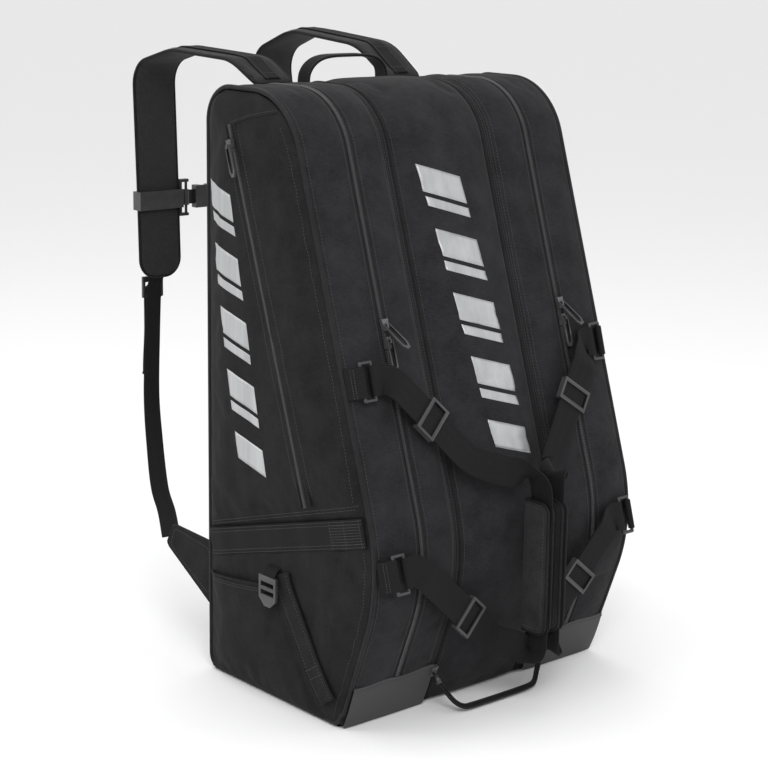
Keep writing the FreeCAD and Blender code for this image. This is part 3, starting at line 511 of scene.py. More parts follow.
def strap_frames(points, across, step=0.004):
    """Point, width direction, outward direction and length so far, along a strap."""
    path = even_path(points, step)
    ways = [Vector(across[0]).normalized()]
    for way in across[1:]:
        way = Vector(way).normalized()
        ways.append(way if way.dot(ways[-1]) >= 0 else -way)
    frames, length = [], 0.0
    for i, (p, s) in enumerate(path):
        tangent = (path[min(i + 1, len(path) - 1)][0] - path[max(i - 1, 0)][0]).normalized()
        k = min(int(s), len(ways) - 2)
        f = s - k
        side = ways[k].lerp(ways[k + 1], f * f * (3 - 2 * f))
        side = (side - tangent * side.dot(tangent)).normalized()
        if i:
            length += (p - path[i - 1][0]).length
        frames.append((p, side, tangent.cross(side), length))
    return frames


def strap(name, points, across, width, thick, material=STRAP, step=0.004):
    """Flat webbing swept along a curve; across gives its width direction at each point."""
    frames = strap_frames(points, across, step)
    w, h = width / 2, thick / 2
    half = [(-w + h * 0.5, h * 0.85), (-w + h * 2, h), (-w * 0.5, h), (0, h), (w * 0.5, h), (w - h * 2, h),
            (w - h * 0.5, h * 0.85)]
    section = [(-w, 0), *half, (w, 0), *[(a, -b) for a, b in half[::-1]]]
    verts = [p + side * a + out * b for p, side, out, length in frames for a, b in section]
    m, n = len(section), len(frames)
    faces = grid_faces(n, m, closed=True)
    faces += [tuple(range(m))[::-1], tuple((n - 1) * m + i for i in range(m))]
    obj = new_object(name, verts, faces, material)
    strap_uv(obj, m, lambda i, k: (section[k][0] + w, frames[i][3]))
    return obj


def tube(name, points, radius, material=BINDING, sides=8, closed=False):
    """Round cord along points that are already close together."""
    n = len(points)
    verts = []
    normal = None
    for i, p in enumerate(points):
        a = points[(i - 1) % n] if closed or i else points[0]
        b = points[(i + 1) % n] if closed or i < n - 1 else points[-1]
        tangent = (b - a).normalized()
        if normal is None:
            normal = tangent.orthogonal().normalized()
        normal = (normal - tangent * normal.dot(tangent)).normalized()
        other = tangent.cross(normal)
        for k in range(sides):
            angle = 2 * math.pi * k / sides
            verts.append(p + (normal * math.cos(angle) + other * math.sin(angle)) * radius)
    faces = grid_faces(n, sides, closed=True)
    last = (n - 1) * sides
    if closed:
        faces += [(last + k, last + (k + 1) % sides, (k + 1) % sides, k) for k in range(sides)]
    else:
        faces += [tuple(range(sides))[::-1], tuple(last + k for k in range(sides))]
    return new_object(name, verts, faces, material)


class Stitches:
    """Collects sewn threads, then makes them one object."""

    def __init__(self, name):
        self.name, self.verts, self.faces = name, [], []

    def sew(self, line, pitch=0.0042, length=0.0029, width=0.00075, height=0.00045):
        for point, out, along in resample(line, pitch):
            side = along.cross(out).normalized() * (width / 2)
            base = len(self.verts)
            reach = along * (length / 2)
            for share, push in ((1.0, out * -0.0003), (0.55, side), (0.55, -side), (0.5, out * height)):
                self.verts += [point - reach * share + push, point + reach * share + push]
            self.faces += [tuple(base + i for i in f) for f in
                           ((0, 2, 6), (0, 6, 4), (2, 3, 7, 6), (6, 7, 5, 4), (1, 7, 3), (1, 5, 7))]

    def row(self, frame, half, lift, count=6):
        """Short row across both faces of a strap."""
        p, s, o, length = frame
        for face in (1, -1):
            self.sew([(p + s * half * t / count + o * face * lift, o * face) for t in range(-count, count + 1)],
                     0.003, 0.0022)

    def edges(self, points, across, width, lift, inset=0.0025, step=0.004):
        """Rows along both edges of a strap, on both its faces."""
        frames = strap_frames(points, across, step)
        for face in (1, -1):
            for sign in (-1, 1):
                self.sew([(p + side * sign * (width / 2 - inset) + out * face * lift, out * face)
                          for p, side, out, length in frames])

    def done(self, body):
        finish_piece(new_object(self.name, self.verts, self.faces, THREAD), body)


# ---------------------------------------------------------------- the bag's front

ROWS = make_rows(5.5)
CRUMPLE = Vector((3.7, 1.9, 8.1))


def crumple(point, near_edge):
    """Soft unevenness of the fabric, in metres: broad swells and short puckers by the seams."""
    broad = noise.noise(point * 9 + CRUMPLE) * 0.0017 + noise.noise(point * 24) * 0.0007
    low = max(0.0, 1 - abs(point.z - 0.30) / 0.22)
    folds = noise.noise(Vector((point.x * 5, 0.4, point.z * 26 + point.x * 9))) * 0.0026 * low
    short = noise.noise(Vector((point.x * 20, 1.7, point.z * 95))) * 0.0009 * near_edge
    return broad + folds + short


def front_panel(word, x_low, x_high, step=5.5, pressure=3.0):
    """One padded panel between two seams, its edges turned in, blown out between them."""
    count = max(6, round((x_high - x_low) / step))
    turned, edge, inner, body = -2.4, 0.6, 1.3, 0.9
    crowns = {0: crown_at(x_low + 0.5), count: crown_at(x_high - 0.5)}
    columns = [front_line(x_low, ROWS, turned, crowns[0])]
    for i in range(count + 1):
        lift = edge if i in (0, count) else inner if i in (1, count - 1) else body
        columns.append(front_line(x_low + (x_high - x_low) * i / count, ROWS, lift, crowns.get(i)))
    columns.append(front_line(x_high, ROWS, turned, crowns[count]))
    obj = sheet_grid(f"{word}_cloth", across_rows(columns), CLOTH)
    cols, total = len(columns), len(columns[0])
    pinned = [r * cols + c for r in range(total) for c in range(cols)
              if c < 3 or c > cols - 4 or r == 0 or r == total - 1]
    billow(obj, pinned, pressure, 0.012, 0.0045)
    for r in range(total):
        for c in range(1, cols - 1):
            vertex = obj.data.vertices[r * cols + c]
            cells = min(c - 1, cols - 2 - c)
            free = min(1.0, cells / 1.5) * min(1.0, r / 2, (total - 1 - r) / 2)
            vertex.co += columns[c][r][1] * crumple(vertex.co, math.exp(-cells * step / 9.0)) * free
    subdivide(obj)
    return finish_piece(obj, "bag", f"{word}_front")


panels = []
for side, word in SIDES:
    outer = sorted((side * (ZIP_X + ZIP_HALF - 1.2), side * PIPE_X))
    inner = sorted((side * (SEAM_X + SEAM_HALF - 0.4), side * (ZIP_X - ZIP_HALF + 1.2)))
    panels += [front_panel(f"{word}_outer", *outer), front_panel(f"{word}_inner", *inner)]
panels.append(front_panel("centre", -SEAM_X + SEAM_HALF - 0.4, SEAM_X - SEAM_HALF + 0.4, 6.0, 2.0))
front_tree = tree_of(*panels)

threads = Stitches("front_stitches")
for side, word in SIDES:
    for x in (ZIP_X - ZIP_HALF - 2.6, ZIP_X + ZIP_HALF + 2.6, SEAM_X - SEAM_HALF - 2.8,
              SEAM_X + SEAM_HALF + 2.6, SEAM_X + SEAM_HALF + 7.0, PIPE_X - 5.0):
        threads.sew(laid_on(front_tree, front_line(side * x, ROWS)))
threads.done("bag")


def coil_rows(name, line, body):
    """Two rows of interlocking coil turns along a line of (point, outward)."""
    verts, faces = [], []
    half, height = 0.00042, 0.0019
    turn = ((-0.0010, 0.0003, 1.0), (-0.0008, height, 0.9), (0.0016, height * 1.05, 1.0),
            (0.0031, height * 0.8, 1.1), (0.0034, 0.0001, 1.2))
    for k, (point, out, along) in enumerate(resample(line, 0.0011)):
        side = along.cross(out).normalized() * (1 if k % 2 else -1)
        base = len(verts)
        verts += [point + side * across + out * lift + along * sign * half * wide
                  for across, lift, wide in turn for sign in (-1, 1)]
        faces += [(a, a + 1, a + 3, a + 2) for a in range(base, base + 8, 2)]
        faces += [(base, base + 2, base + 4, base + 6, base + 8),
                  (base + 1, base + 9, base + 7, base + 5, base + 3)]
    finish_piece(new_object(name + "_coil", verts, faces, COIL), body)


def zip_tape(name, lines, places, margin, node):
    """Zip tape from rows of points, with its width coordinates."""
    tape = sheet_grid(name + "_tape", lines, TAPE)
    strap_uv(tape, len(places), lambda r, c: (places[c] + margin, r * 0.004))
    finish_piece(tape, "bag", node)


def zip_line(name, x):
    """Tape with its coil between two panels."""
    rows = make_rows(4.0, 57.0)
    crown = crown_at(x)
    stations = (-8.5, -6.9, -3.2, 0.0, 3.2, 6.9, 8.5)
    columns = [front_line(x + a, rows, b, crown) for a, b in zip(stations, (-0.9, 0.0, 0.1, 0.0, 0.1, 0.0, -0.9))]
    zip_tape(name, across_rows(columns), [a * MM for a in stations], 0.0085, "main_zips")
    coil_rows(name, front_line(x, rows, 0.15, crown), "bag")
    threads = Stitches(name + "_threads")
    for sign, tag in ((-1, "a"), (1, "b")):
        cord = tube(f"{name}_cord_{tag}", [p for p, out in front_line(x + sign * 3.7, rows, 0.5, crown)],
                    0.00045, TAPE, 6)
        spots = [v.co for v in cord.data.vertices]
        strap_uv(cord, 1, lambda i, k: (spots[i].x + spots[i].y, spots[i].z + 0.6 * spots[i].y))
        finish_piece(cord, "bag")
        threads.sew(front_line(x + sign * 4.9, rows, 0.2, crown), 0.003, 0.0021, 0.0006, 0.0003)
    threads.done("bag")


def seam_strip(name, x, side):
    """Covered seam: a rolled welt over the hidden zip with a flat tape beside it."""
    rows = make_rows(5.0)
    stations = (-7.6, -6.2, -5.0, -3.6, -2.2, -1.4, 0.0, 2.5, 4.5, 6.4, 7.6)
    lifts = (-1.6, 1.2, 2.3, 2.6, 1.6, -0.6, 0.5, 0.9, 0.9, 0.6, -1.4)
    columns = [front_line(x + side * a, rows, b + 0.4, -2.0) for a, b in zip(stations, lifts)]
    strip = sheet_grid(name, across_rows(columns[::side]), BINDING)
    subdivide(strip)
    finish_piece(strip, "bag", "centre_seams")
    threads = Stitches(name + "_threads")
    for a in (1.4, 5.2):
        threads.sew(front_line(x + side * a, rows, 1.35, -2.0), 0.0038, 0.0026, 0.0007, 0.0004)
    threads.done("bag")


def guard(word, side):
    """Coated guard sewn over the lower front, with a turned top edge."""
    low_z, total, count = 1.0, 15, 22
    edge_in, edge_out = SEAM_X + SEAM_HALF - 1.5, PIPE_X + 0.6
    lines = []
    for i in range(count + 1):
        x = side * (edge_in + (edge_out - edge_in) * i / count)
        top = 59.0 + 1.4 * math.sin(i * 0.55)
        kind, start, end = profile_pieces(0.35 * crown_at(x) + 3.0, 3.2, 0.6, BACK_SEAM_Z)[0]
        column = []
        for j in range(total + 1):
            z = low_z + (top - low_z) * j / total
            y = start[0] + (end[0] - start[0]) * (z - start[1]) / (end[1] - start[1])
            proud = 1.0 + 0.9 * math.sin(math.pi * j / total) + 0.5 * noise.noise(Vector((x * 0.03, z * 0.05, 2)))
            column.append(Vector((x, y - proud, z)) * MM)
        column += [column[-1] + Vector((0, y, 0.0012)) for y in (0.0006, 0.004)]
        lines.append(column)
    lines = lines[::-side]
    obj = sheet_grid(f"{word}_guard_cloth", lines, GUARD)
    obj.data.flip_normals()
    subdivide(obj)
    finish_piece(obj, "bag", f"{word}_base_guard")
    threads = Stitches(f"{word}_guard_threads")
    threads.sew([(column[-4] + Vector((0, -0.0004, 0)), Vector((0, -0.94, -0.34))) for column in lines])
    threads.done("bag")


for side, word in SIDES:
    zip_line(f"{word}_zip", side * ZIP_X)
    seam_strip(f"{word}_seam", side * SEAM_X, side)
    guard(word, side)


# ----------------------------------------------------------------------- piping

def side_outline():
    """Closed line round the side: up the front, over the top, down the back, under."""
    points = [(p.y, p.z, n.y, n.z) for p, n in front_line(0.0, make_rows(4.0, 22.0, 22.0), 0.0, 0.0)]
    low, radius = 0.005, 0.016
    front, back = points[0][0] + radius * 1.3, points[-1][0] - radius
    turns = [(math.cos(math.pi * k / 16), math.sin(math.pi * k / 16)) for k in range(1, 8)]
    points += [(back + radius * c, low + radius - radius * s, c, -s) for c, s in turns]
    points += [(back + (front - back) * k / 50, low, 0, -1) for k in range(51)]
    return points + [(front - radius * s, low + radius - radius * c, -s, -c) for c, s in turns]


for side, word in SIDES:
    path = [Vector((side * (PIPE_X + 0.6) * MM, y + ny * 0.0004, z + nz * 0.0004))
            for y, z, ny, nz in side_outline()]
    finish_piece(tube(f"{word}_piping", path, 0.0031, PIPING, 12, closed=True), "bag",
                 *(["side_pipings"] if side < 0 else []))


# -------------------------------------------------------------------- the sides

def side_edges(inset):
    """Heights and Y of the side's front edge and back edge, both inside the piping."""
    points = [(p.z / MM, p.y / MM) for p, out in front_line(0.0, make_rows(3.0, 2.0, 2.0), -inset, 0.0)]
    top = max(range(len(points)), key=lambda i: (round(points[i][0], 3), -abs(i - len(points) * 0.6)))
    return [np.array(list(zip(*sorted(run)))) for run in (points[:top + 1], points[top:])]


EDGE_FRONT, EDGE_BACK = side_edges(3.0)


def front_edge(z):
    return float(np.interp(z, *EDGE_FRONT))


def back_edge(z):
    return float(np.interp(z, *EDGE_BACK))


def side_sheet(name, side, low, high, swell, step, nodes, pressure=1.2, cap=0.003, edges=None, sink=0.6):
    """Swelling cloth on one side. low and high give (back z, front z) of its ends."""
    tall = high[0] - low[0]
    rows = max(6, round(tall / step))
    cols = 46 if tall > 300 else 40
    lines = []
    for j in range(rows + 1):
        v = j / rows
        zb, zf = low[0] + tall * v, low[1] + (high[1] - low[1]) * v
        yb, yf = edges(v) if edges else (back_edge(zb), front_edge(zf))
        line = []
        for i in range(cols + 1):
            u = i / cols
            y, z = yb + (yf - yb) * u, zb + (zf - zb) * u
            width = abs(yf - yb)
            d = min(u * width, (1 - u) * width, v * tall, (1 - v) * tall)
            out = swell(u, v, d)
            out += 1.6 * noise.noise(Vector((y * 0.012, z * 0.011, side * 3.1))) * min(1, d / 25)
            out += 0.8 * noise.noise(Vector((y * 0.05, z * 0.03, side * 5.7))) * min(1, d / 12)
            line.append(Vector((side * (SIDE_X - sink + out), y, z)) * MM)
        lines.append(line[::-side])
    obj = sheet_grid(name, lines, SIDE_CLOTH)
    billow(obj, border(rows, cols), pressure, 0.008, cap)
    subdivide(obj)
    return finish_piece(obj, "bag", *nodes)


def cover_swell(u, v, d):
    return 14.2 * (1 - math.exp(-d / 15.0)) + 1.5 * math.sin(math.pi * u) * math.sin(math.pi * v)


def low_swell(u, v, d):
    return 5.5 * (1 - math.exp(-d / 22.0))


def pocket_edges(v):
    return 127.0, -108.0 + 92.0 * v


def pocket_swell(u, v, d):
    side_fall = min(1.0, u * 235 / 26.0, (1 - u) * 200 / 16.0)
    lift = min(1.0, v * 130 / 34.0)
    mouth = 4.0 + 10.5 * math.sin(math.pi * min(1, max(0, u))) ** 0.5
    return 1.2 + mouth * (side_fall ** 0.6) * (lift ** 0.6)


covers, lows = {}, {}
for side, word in SIDES:
    node = "left_pocket_cover" if side < 0 else "right_side_cover"
    covers[side] = side_sheet(f"{word}_cover_cloth", side, (194, 280), (HEIGHT - 3.6, HEIGHT - 3.6), cover_swell,
                              6.5, [node, f"{word}_side_panel"])
    lows[side] = side_sheet(f"{word}_low_cloth", side, (3.4, 3.4), (197, 283), low_swell, 6.0, [])
shoe = side_sheet("shoe_pocket_cloth", -1, (4.2, 4.2), (139.0, 156.0), pocket_swell, 5.5, ["shoe_pocket"],
                  pressure=1.5, cap=0.002, edges=pocket_edges, sink=0.2)
pocket_tree = tree_of(shoe)
cover_tree = tree_of(covers[-1])
side_trees = {side: tree_of(covers[side], lows[side]) for side, word in SIDES}


def side_line(side, points, step=4.0):
    """Line of (point, outward) beside a side, from corner points (y, z) in mm."""
    line = []
    for (y0, z0), (y1, z1) in zip(points, points[1:]):
        count = max(1, round(math.hypot(y1 - y0, z1 - z0) / step))
        line += [(y0 + (y1 - y0) * k / count, z0 + (z1 - z0) * k / count) for k in range(count)]
    return [(Vector((side * 245, y, z)) * MM, Vector((side, 0, 0))) for y, z in line + [points[-1]]]


def over_side(tree, side, points, lift=0.0002):
    return laid_on(tree, side_line(side, points), lift, 0.05)


def rim(start, end, z_off):
    """Line along the pocket's mouth."""
    yb, yf = pocket_edges(1.0)
    shares = [start + (end - start) * k / 40 for k in range(41)]
    return [(yb + (yf - yb) * u, 139.0 + 17.0 * u + z_off) for u in shares]


hem = over_side(pocket_tree, -1, rim(0.02, 0.98, -1.0), 0.0006)
finish_piece(tube("shoe_pocket_rim", [p for p, out in hem], 0.0016), "bag")
side_threads = Stitches("side_stitches")
for drop in (-6.5, -9.5):
    side_threads.sew(over_side(pocket_tree, -1, rim(0.03, 0.97, drop)))


def on_side(tree, side, y, z, lift):
    hit = tree.ray_cast(Vector((side * 0.30, y * MM, z * MM)), Vector((-side, 0, 0)), 0.2)
    return (hit[0] or Vector((side * 0.224, y * MM, z * MM))) + Vector((side * lift, 0, 0))


BAND_BACK_Z, BAND_FRONT_Z, BAND_WIDTH = 178, 264, 0.037


def side_band(word, side, tree):
    """Broad webbing round the side, its front end sewn down in a block."""
    front = front_edge(BAND_FRONT_Z) + 4
    ys = [124 - (124 - front) * k / 12 for k in range(13)]
    rise = BAND_FRONT_Z - BAND_BACK_Z
    points = [on_side(tree, side, y, BAND_BACK_Z + rise * (128 - y) / (128 - front), 0.0024) for y in ys]
    across = [Vector((0, 0.28, 0.96))] * len(points)
    finish_piece(strap(f"{word}_band_webbing", points, across, BAND_WIDTH, 0.0026), "bag", "side_bands")
    threads = Stitches(f"{word}_band_threads")
    for inset in (0.0025, 0.0065):
        threads.edges(points, across, BAND_WIDTH, 0.0014, inset)
    frames = strap_frames(points, across)
    block = frames[int(len(frames) * 0.80):-1]
    for k in range(1, 9):
        share = BAND_WIDTH * (-0.42 + 0.84 * k / 9)
        for face in (1, -1):
            threads.sew([(p + s * share + o * face * 0.0014, o * face) for p, s, o, l in block], 0.0032, 0.0024)
    for k in (0, len(block) // 2, len(block) - 1):
        threads.row(block[k], 0.017, 0.0015)
    threads.done("bag")


for side, word in SIDES:
    tree = side_trees[side]
    side_band(word, side, tree)
    rows = [[(122, BAND_BACK_Z + 16.5 + lift), (front_edge(286) + 9, BAND_FRONT_Z + 18.5 + lift)]
            for lift in (9.0, 13.0)]
    rows += [[(front_edge(z) + 9.5, z) for z in heights] for heights in (range(300, 742, 12), range(14, 246, 12))]
    for row in rows:
        side_threads.sew(over_side(tree, side, row))


def gusset():
    """Bound fabric strip from the pocket's mouth down to the front foot."""
    places = [(-30, 176), (-36, 160), (-52, 134), (-72, 104), (-92, 74), (-108, 50), (-120, 32)]
    tree = tree_of(lows[-1])
    points = [on_side(tree, -1, y, z, 0.0028) for y, z in places]
    across = [Vector((0, 0.98, 0.2)), Vector((0, 0.95, -0.3))] + [Vector((0, 0.83, -0.55))] * 5
    finish_piece(strap("gusset_strip", points, across, 0.031, 0.0028, SIDE_CLOTH), "bag", "shoe_pocket_strap")
    frames = strap_frames(points, across)
    for sign, tag in ((-1, "a"), (1, "b")):
        line = [p + s * sign * 0.0155 + Vector((-0.0006, 0, 0)) for p, s, o, l in frames]
        finish_piece(tube(f"gusset_edge_{tag}", line, 0.0016), "bag")
    side_threads.edges(points, across, 0.031, 0.0015, 0.005)
    for share in (0.72, 0.78):
        side_threads.row(frames[int(len(frames) * share)], 0.0135, 0.0015)


gusset()

# short tab that holds the pocket's lock
tab = [Vector((-x, -14, z)) * MM for x, z in
       ((226.5, 182), (234.5, 178), (239.5, 171), (240.4, 164.5), (238.5, 160))]
finish_piece(strap("lock_tab", tab, [Vector((0, 1, 0))] * 5, 0.0245, 0.0016), "bag")


def lay_zip(name, line):
    """Tape, coil and rolled edges along a straight line of (point, outward)."""
    section = ((-0.0088, -0.0016), (-0.0062, 0.0), (-0.003, 0.0003), (0, 0), (0.003, 0.0003), (0.0062, 0.0),
               (0.0088, -0.0016))
    frames = [(point, along.cross(out).normalized(), out) for point, out, along in resample(line, 0.004)]
    zip_tape(name, [[p + s * a + o * b for a, b in section] for p, s, o in frames], [a for a, b in section],
             0.009, name)
    coil_rows(name, [(p + o * 0.00015, o) for p, s, o in frames], "bag")
    for sign, tag in ((-1, "a"), (1, "b")):
        welt = [p + s * sign * 0.0088 - o * 0.0004 for p, s, o in frames]
        finish_piece(tube(f"{name}_welt_{tag}", welt, 0.0019, SIDE_CLOTH), "bag")


zip_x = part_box("pocket_zip")[0].x + 0.0024
ZIP_TOP, ZIP_LOW = Vector((zip_x, 0.066, 0.728)), Vector((zip_x, -0.0865, 0.2765))
lay_zip("pocket_zip", [(ZIP_LOW.lerp(ZIP_TOP, k / 60), Vector((-1, 0, 0))) for k in range(61)])
seam = over_side(cover_tree, -1, [(66, 727), (30, 738), (-4, 745), (-20, 748)])
finish_piece(tube("dart_seam", [p for p, out in seam], 0.0012), "bag")
rows = [[(66, 730), (30, 741), (-4, 748), (-18, 751)]]
rows += [[(62 + shift * 0.94, 716 - shift * 0.32), (-84 + shift * 0.94, 290 - shift * 0.32)]
         for shift in (-14.0, 13.0)]
for row in rows:
    side_threads.sew(over_side(cover_tree, -1, row))
side_threads.done("bag")


# --------------------------------------------------------------- back and base

CHANNELS_X, CHANNELS_Z = (-70.0, 70.0), (190.0, 420.0, 610.0)


def back_sheet():
    """Padded back with sewn channels, inside the piping."""
    rows, cols = 110, 64
    lines, pinned = [], border(rows, cols)
    for j in range(rows + 1):
        z = 4.0 + (BACK_SEAM_Z - 5.0) * j / rows
        line = []
        for i in range(cols + 1):
            x = -PIPE_X + 2 * PIPE_X * i / cols
            d = min(PIPE_X - abs(x), z, BACK_SEAM_Z - z)
            fade = min(1, d / 20)
            ridge = 2.4 * (1 - math.exp(-d / 9.0))
            for off in [x - seam for seam in CHANNELS_X] + [z - seam for seam in CHANNELS_Z]:
                ridge -= 2.0 * math.exp(-(off / 5.0) ** 2) * fade
            ridge += 0.9 * noise.noise(Vector((x * 0.02, z * 0.02, 9))) * fade
            line.append(Vector((x, BACK_Y - 0.4 + ridge, z)) * MM)
        lines.append(line[::-1])
        if min(abs(z - seam) for seam in CHANNELS_Z) < 3.4:
            pinned += range(j * (cols + 1), (j + 1) * (cols + 1))
    obj = sheet_grid("back_cloth", lines, MESH)
    billow(obj, sorted(set(pinned)), 1.5, 0.006, 0.003, frames=10)
    finish_piece(obj, "bag", "back_panel")
    tree = tree_of(obj)
    threads = Stitches("back_stitches")
    rows = [[(x, z) for z in range(12, 718, 8)] for x in CHANNELS_X]
    rows += [[(x, z) for x in range(-208, 209, 8)] for z in CHANNELS_Z]
    for row in rows:
        threads.sew(laid_on(tree, [(Vector((x, BACK_Y + 10, z)) * MM, Vector((0, 1, 0))) for x, z in row]))
    threads.done("bag")
    seam = [Vector((x, BACK_Y + 0.6, BACK_SEAM_Z)) * MM for x in range(-218, 219, 6)]
    finish_piece(tube("back_seam_cord", seam, 0.0021), "bag")


def base_sheet():
    """Coated base, set just above the floor inside the piping."""
    lines = []
    for j in range(31):
        y = FOOT_Y + 3 + (BACK_Y - 2 - FOOT_Y - 3) * j / 30
        xs = [PIPE_X - 2 * PIPE_X * i / 50 for i in range(51)]
        lines.append([Vector((x, y, 0.6 + 0.35 * noise.noise(Vector((x * 0.03, y * 0.03, 4))))) * MM for x in xs])
    obj = sheet_grid("base_cloth", lines, GUARD)
    subdivide(obj)
    finish_piece(obj, "bag", "base_panel")


back_sheet()
base_sheet()


# --------------------------------------------------------------- hardware as built

JOINTS = {joint["name"]: joint for joint in frame["joints"]}


def hardware(material, width, *names):
    """Gives built nodes their finish and softens their edges."""
    for name in names:
        obj = frame["nodes"][name]
        obj.data.materials.clear()
        obj.data.materials.append(material)
        modifier = obj.modifiers.new("edges", "BEVEL")
        modifier.width, modifier.segments = width, 2
        modifier.limit_method, modifier.angle_limit = "ANGLE", math.radians(40)
        modifier.harden_normals = False


for side, word in SIDES:
    hardware(METAL, 0.0005, *[f"{word}_{part}" for part in ("upper_slider", "lower_slider", "centre_slider",
                                                            "upper_pull", "lower_pull")])
    hardware(PLASTIC, 0.0007, f"{word}_upper_glide", f"{word}_lower_glide")
    hardware(PLASTIC, 0.0006, f"{word}_handle_rings", f"{word}_keeper", f"{word}_ladder_lock")
hardware(METAL, 0.0005, "left_pocket_slider", "left_pocket_pull")
hardware(PLASTIC, 0.0008, "sternum_socket", "sternum_plug", "pocket_lock")
hardware(SIDE_CLOTH, 0.0005, "dividers")


# ------------------------------------------------------------------ padded pieces

def round_off(x, y, a, b, r):
    """Moves a point of a rectangle, a by b from its middle, in behind a corner of radius r."""
    u, v = (abs(x) - a) / r + 1, (abs(y) - b) / r + 1
    if u > 0 and v > 0:
        x, y = (math.copysign(a - r + r * u * math.sqrt(1 - v * v / 2), x),
                math.copysign(b - r + r * v * math.sqrt(1 - u * u / 2), y))
    return x, y


def slab(name, place, length, width, corners, thick, materials, step, edge, soft):
    """Padded slab with rounded corners; place(s, w, h) gives the point s along, w across, h out."""
    cols, rows = max(10, round(length / step)), max(8, round(width / step))
    faces_up, faces_down, rim = [], [], {}
    for j in range(rows + 1):
        for i in range(cols + 1):
            a, b = 2 * i / cols - 1, 2 * j / rows - 1
            x, y = round_off(a * length / 2, b * width / 2, length / 2, width / 2, corners[a > 0])
            d = min((1 - abs(a)) * length / 2, (1 - abs(b)) * width / 2)
            half = thick / 2 * (edge + (1 - edge) * (1 - math.exp(-d / soft)))
            faces_up.append(place(x + length / 2, y, half) * MM)
            faces_down.append(place(x + length / 2, y, -half) * MM)
            rim[(j, i)] = place(x + length / 2, y, 0) * MM
    ring = [(0, i) for i in range(cols)] + [(j, cols) for j in range(rows)]
    ring += [(rows, i) for i in range(cols, 0, -1)] + [(j, 0) for j in range(rows, 0, -1)]
    count = len(faces_up)
    at = [j * (cols + 1) + i for j, i in ring]
    faces = grid_faces(rows + 1, cols + 1)
    upper = len(faces)
    faces += [tuple(count + k for k in f[::-1]) for f in faces]
    faces += [(a, count + a, count + b, b) for a, b in zip(at, at[1:] + at[:1])]
    obj = new_object(name, faces_up + faces_down, faces, *materials)
    for polygon in list(obj.data.polygons)[upper:2 * upper]:
        polygon.material_index = 1
    return obj, [rim[k] for k in ring], at + [count + k for k in at]


def inset_line(place, out_at, length, width, inset, radius, count=120):
    """Rounded rectangle of (point, outward) on a slab's outer face."""
    a, b = length / 2 - inset, width / 2 - inset
    line = []
    for k in range(count + 1):
        c, s = math.cos(2 * math.pi * k / count), math.sin(2 * math.pi * k / count)
        m = max(abs(c) / a, abs(s) / b)
        x, y = round_off(c / m, s / m, a, b, radius)
        line.append((place(x + length / 2, y, 3.0) * MM, out_at(x + length / 2)))
    return line


# ------------------------------------------------------------------ carry handles

UP_OUT = Vector((0, -math.cos(UPPER_SLOPE), math.sin(UPPER_SLOPE)))
FRONT_WAY = Vector((0, -1, 0))
GRIP_Y, GRIP_LOW, GRIP_LENGTH, GRIP_TAIL = -242.0, 105.0, 170.0, 24.0
HANDLES = {
    -1: (7.0, [(-158, 422), (-70, 325)], [(-158, -220, 206), (-40, -208, 100)], 0.45, 0.66),
    1: (31.0, [(158, 412), (66, 298)], [(160, -220, 206), (68, -208, 97)], 0.34, 0.52),
}
SWING = Vector(JOINTS["right_carry_handle_swing"]["axis"]).normalized()
SWING = SWING if SWING.z > 0 else -SWING
UPPER_EYE = Vector(JOINTS["right_carry_handle_swing"]["pos_m"]) / MM
UPPER_EYE.x = 0
LOWER_EYE = UPPER_EYE - SWING * ((UPPER_EYE.z - 216) / SWING.z)
RING_OUT = Vector((1, 0, 0)).cross(SWING)
RING_OUT = RING_OUT if RING_OUT.y < 0 else -RING_OUT


def over_front(x, z, stand):
    """Point over the upper front, in mm."""
    return Vector((x, UPPER_Y + TAN_UP * (z - UPPER_Z), z)) + UP_OUT * stand


def ring_wrap(side, eye):
    """Webbing round the ring's inner bar, under layer first."""
    bar = eye + Vector((side * 189, 0, 0))
    spots = ((-17, -1.0), (-1.5, -3.0), (3.0, 0.0), (-1.5, 3.0), (-17, 1.0))
    return [(bar + Vector((side * a, 0, 0)) + RING_OUT * b, SWING) for a, b in spots]


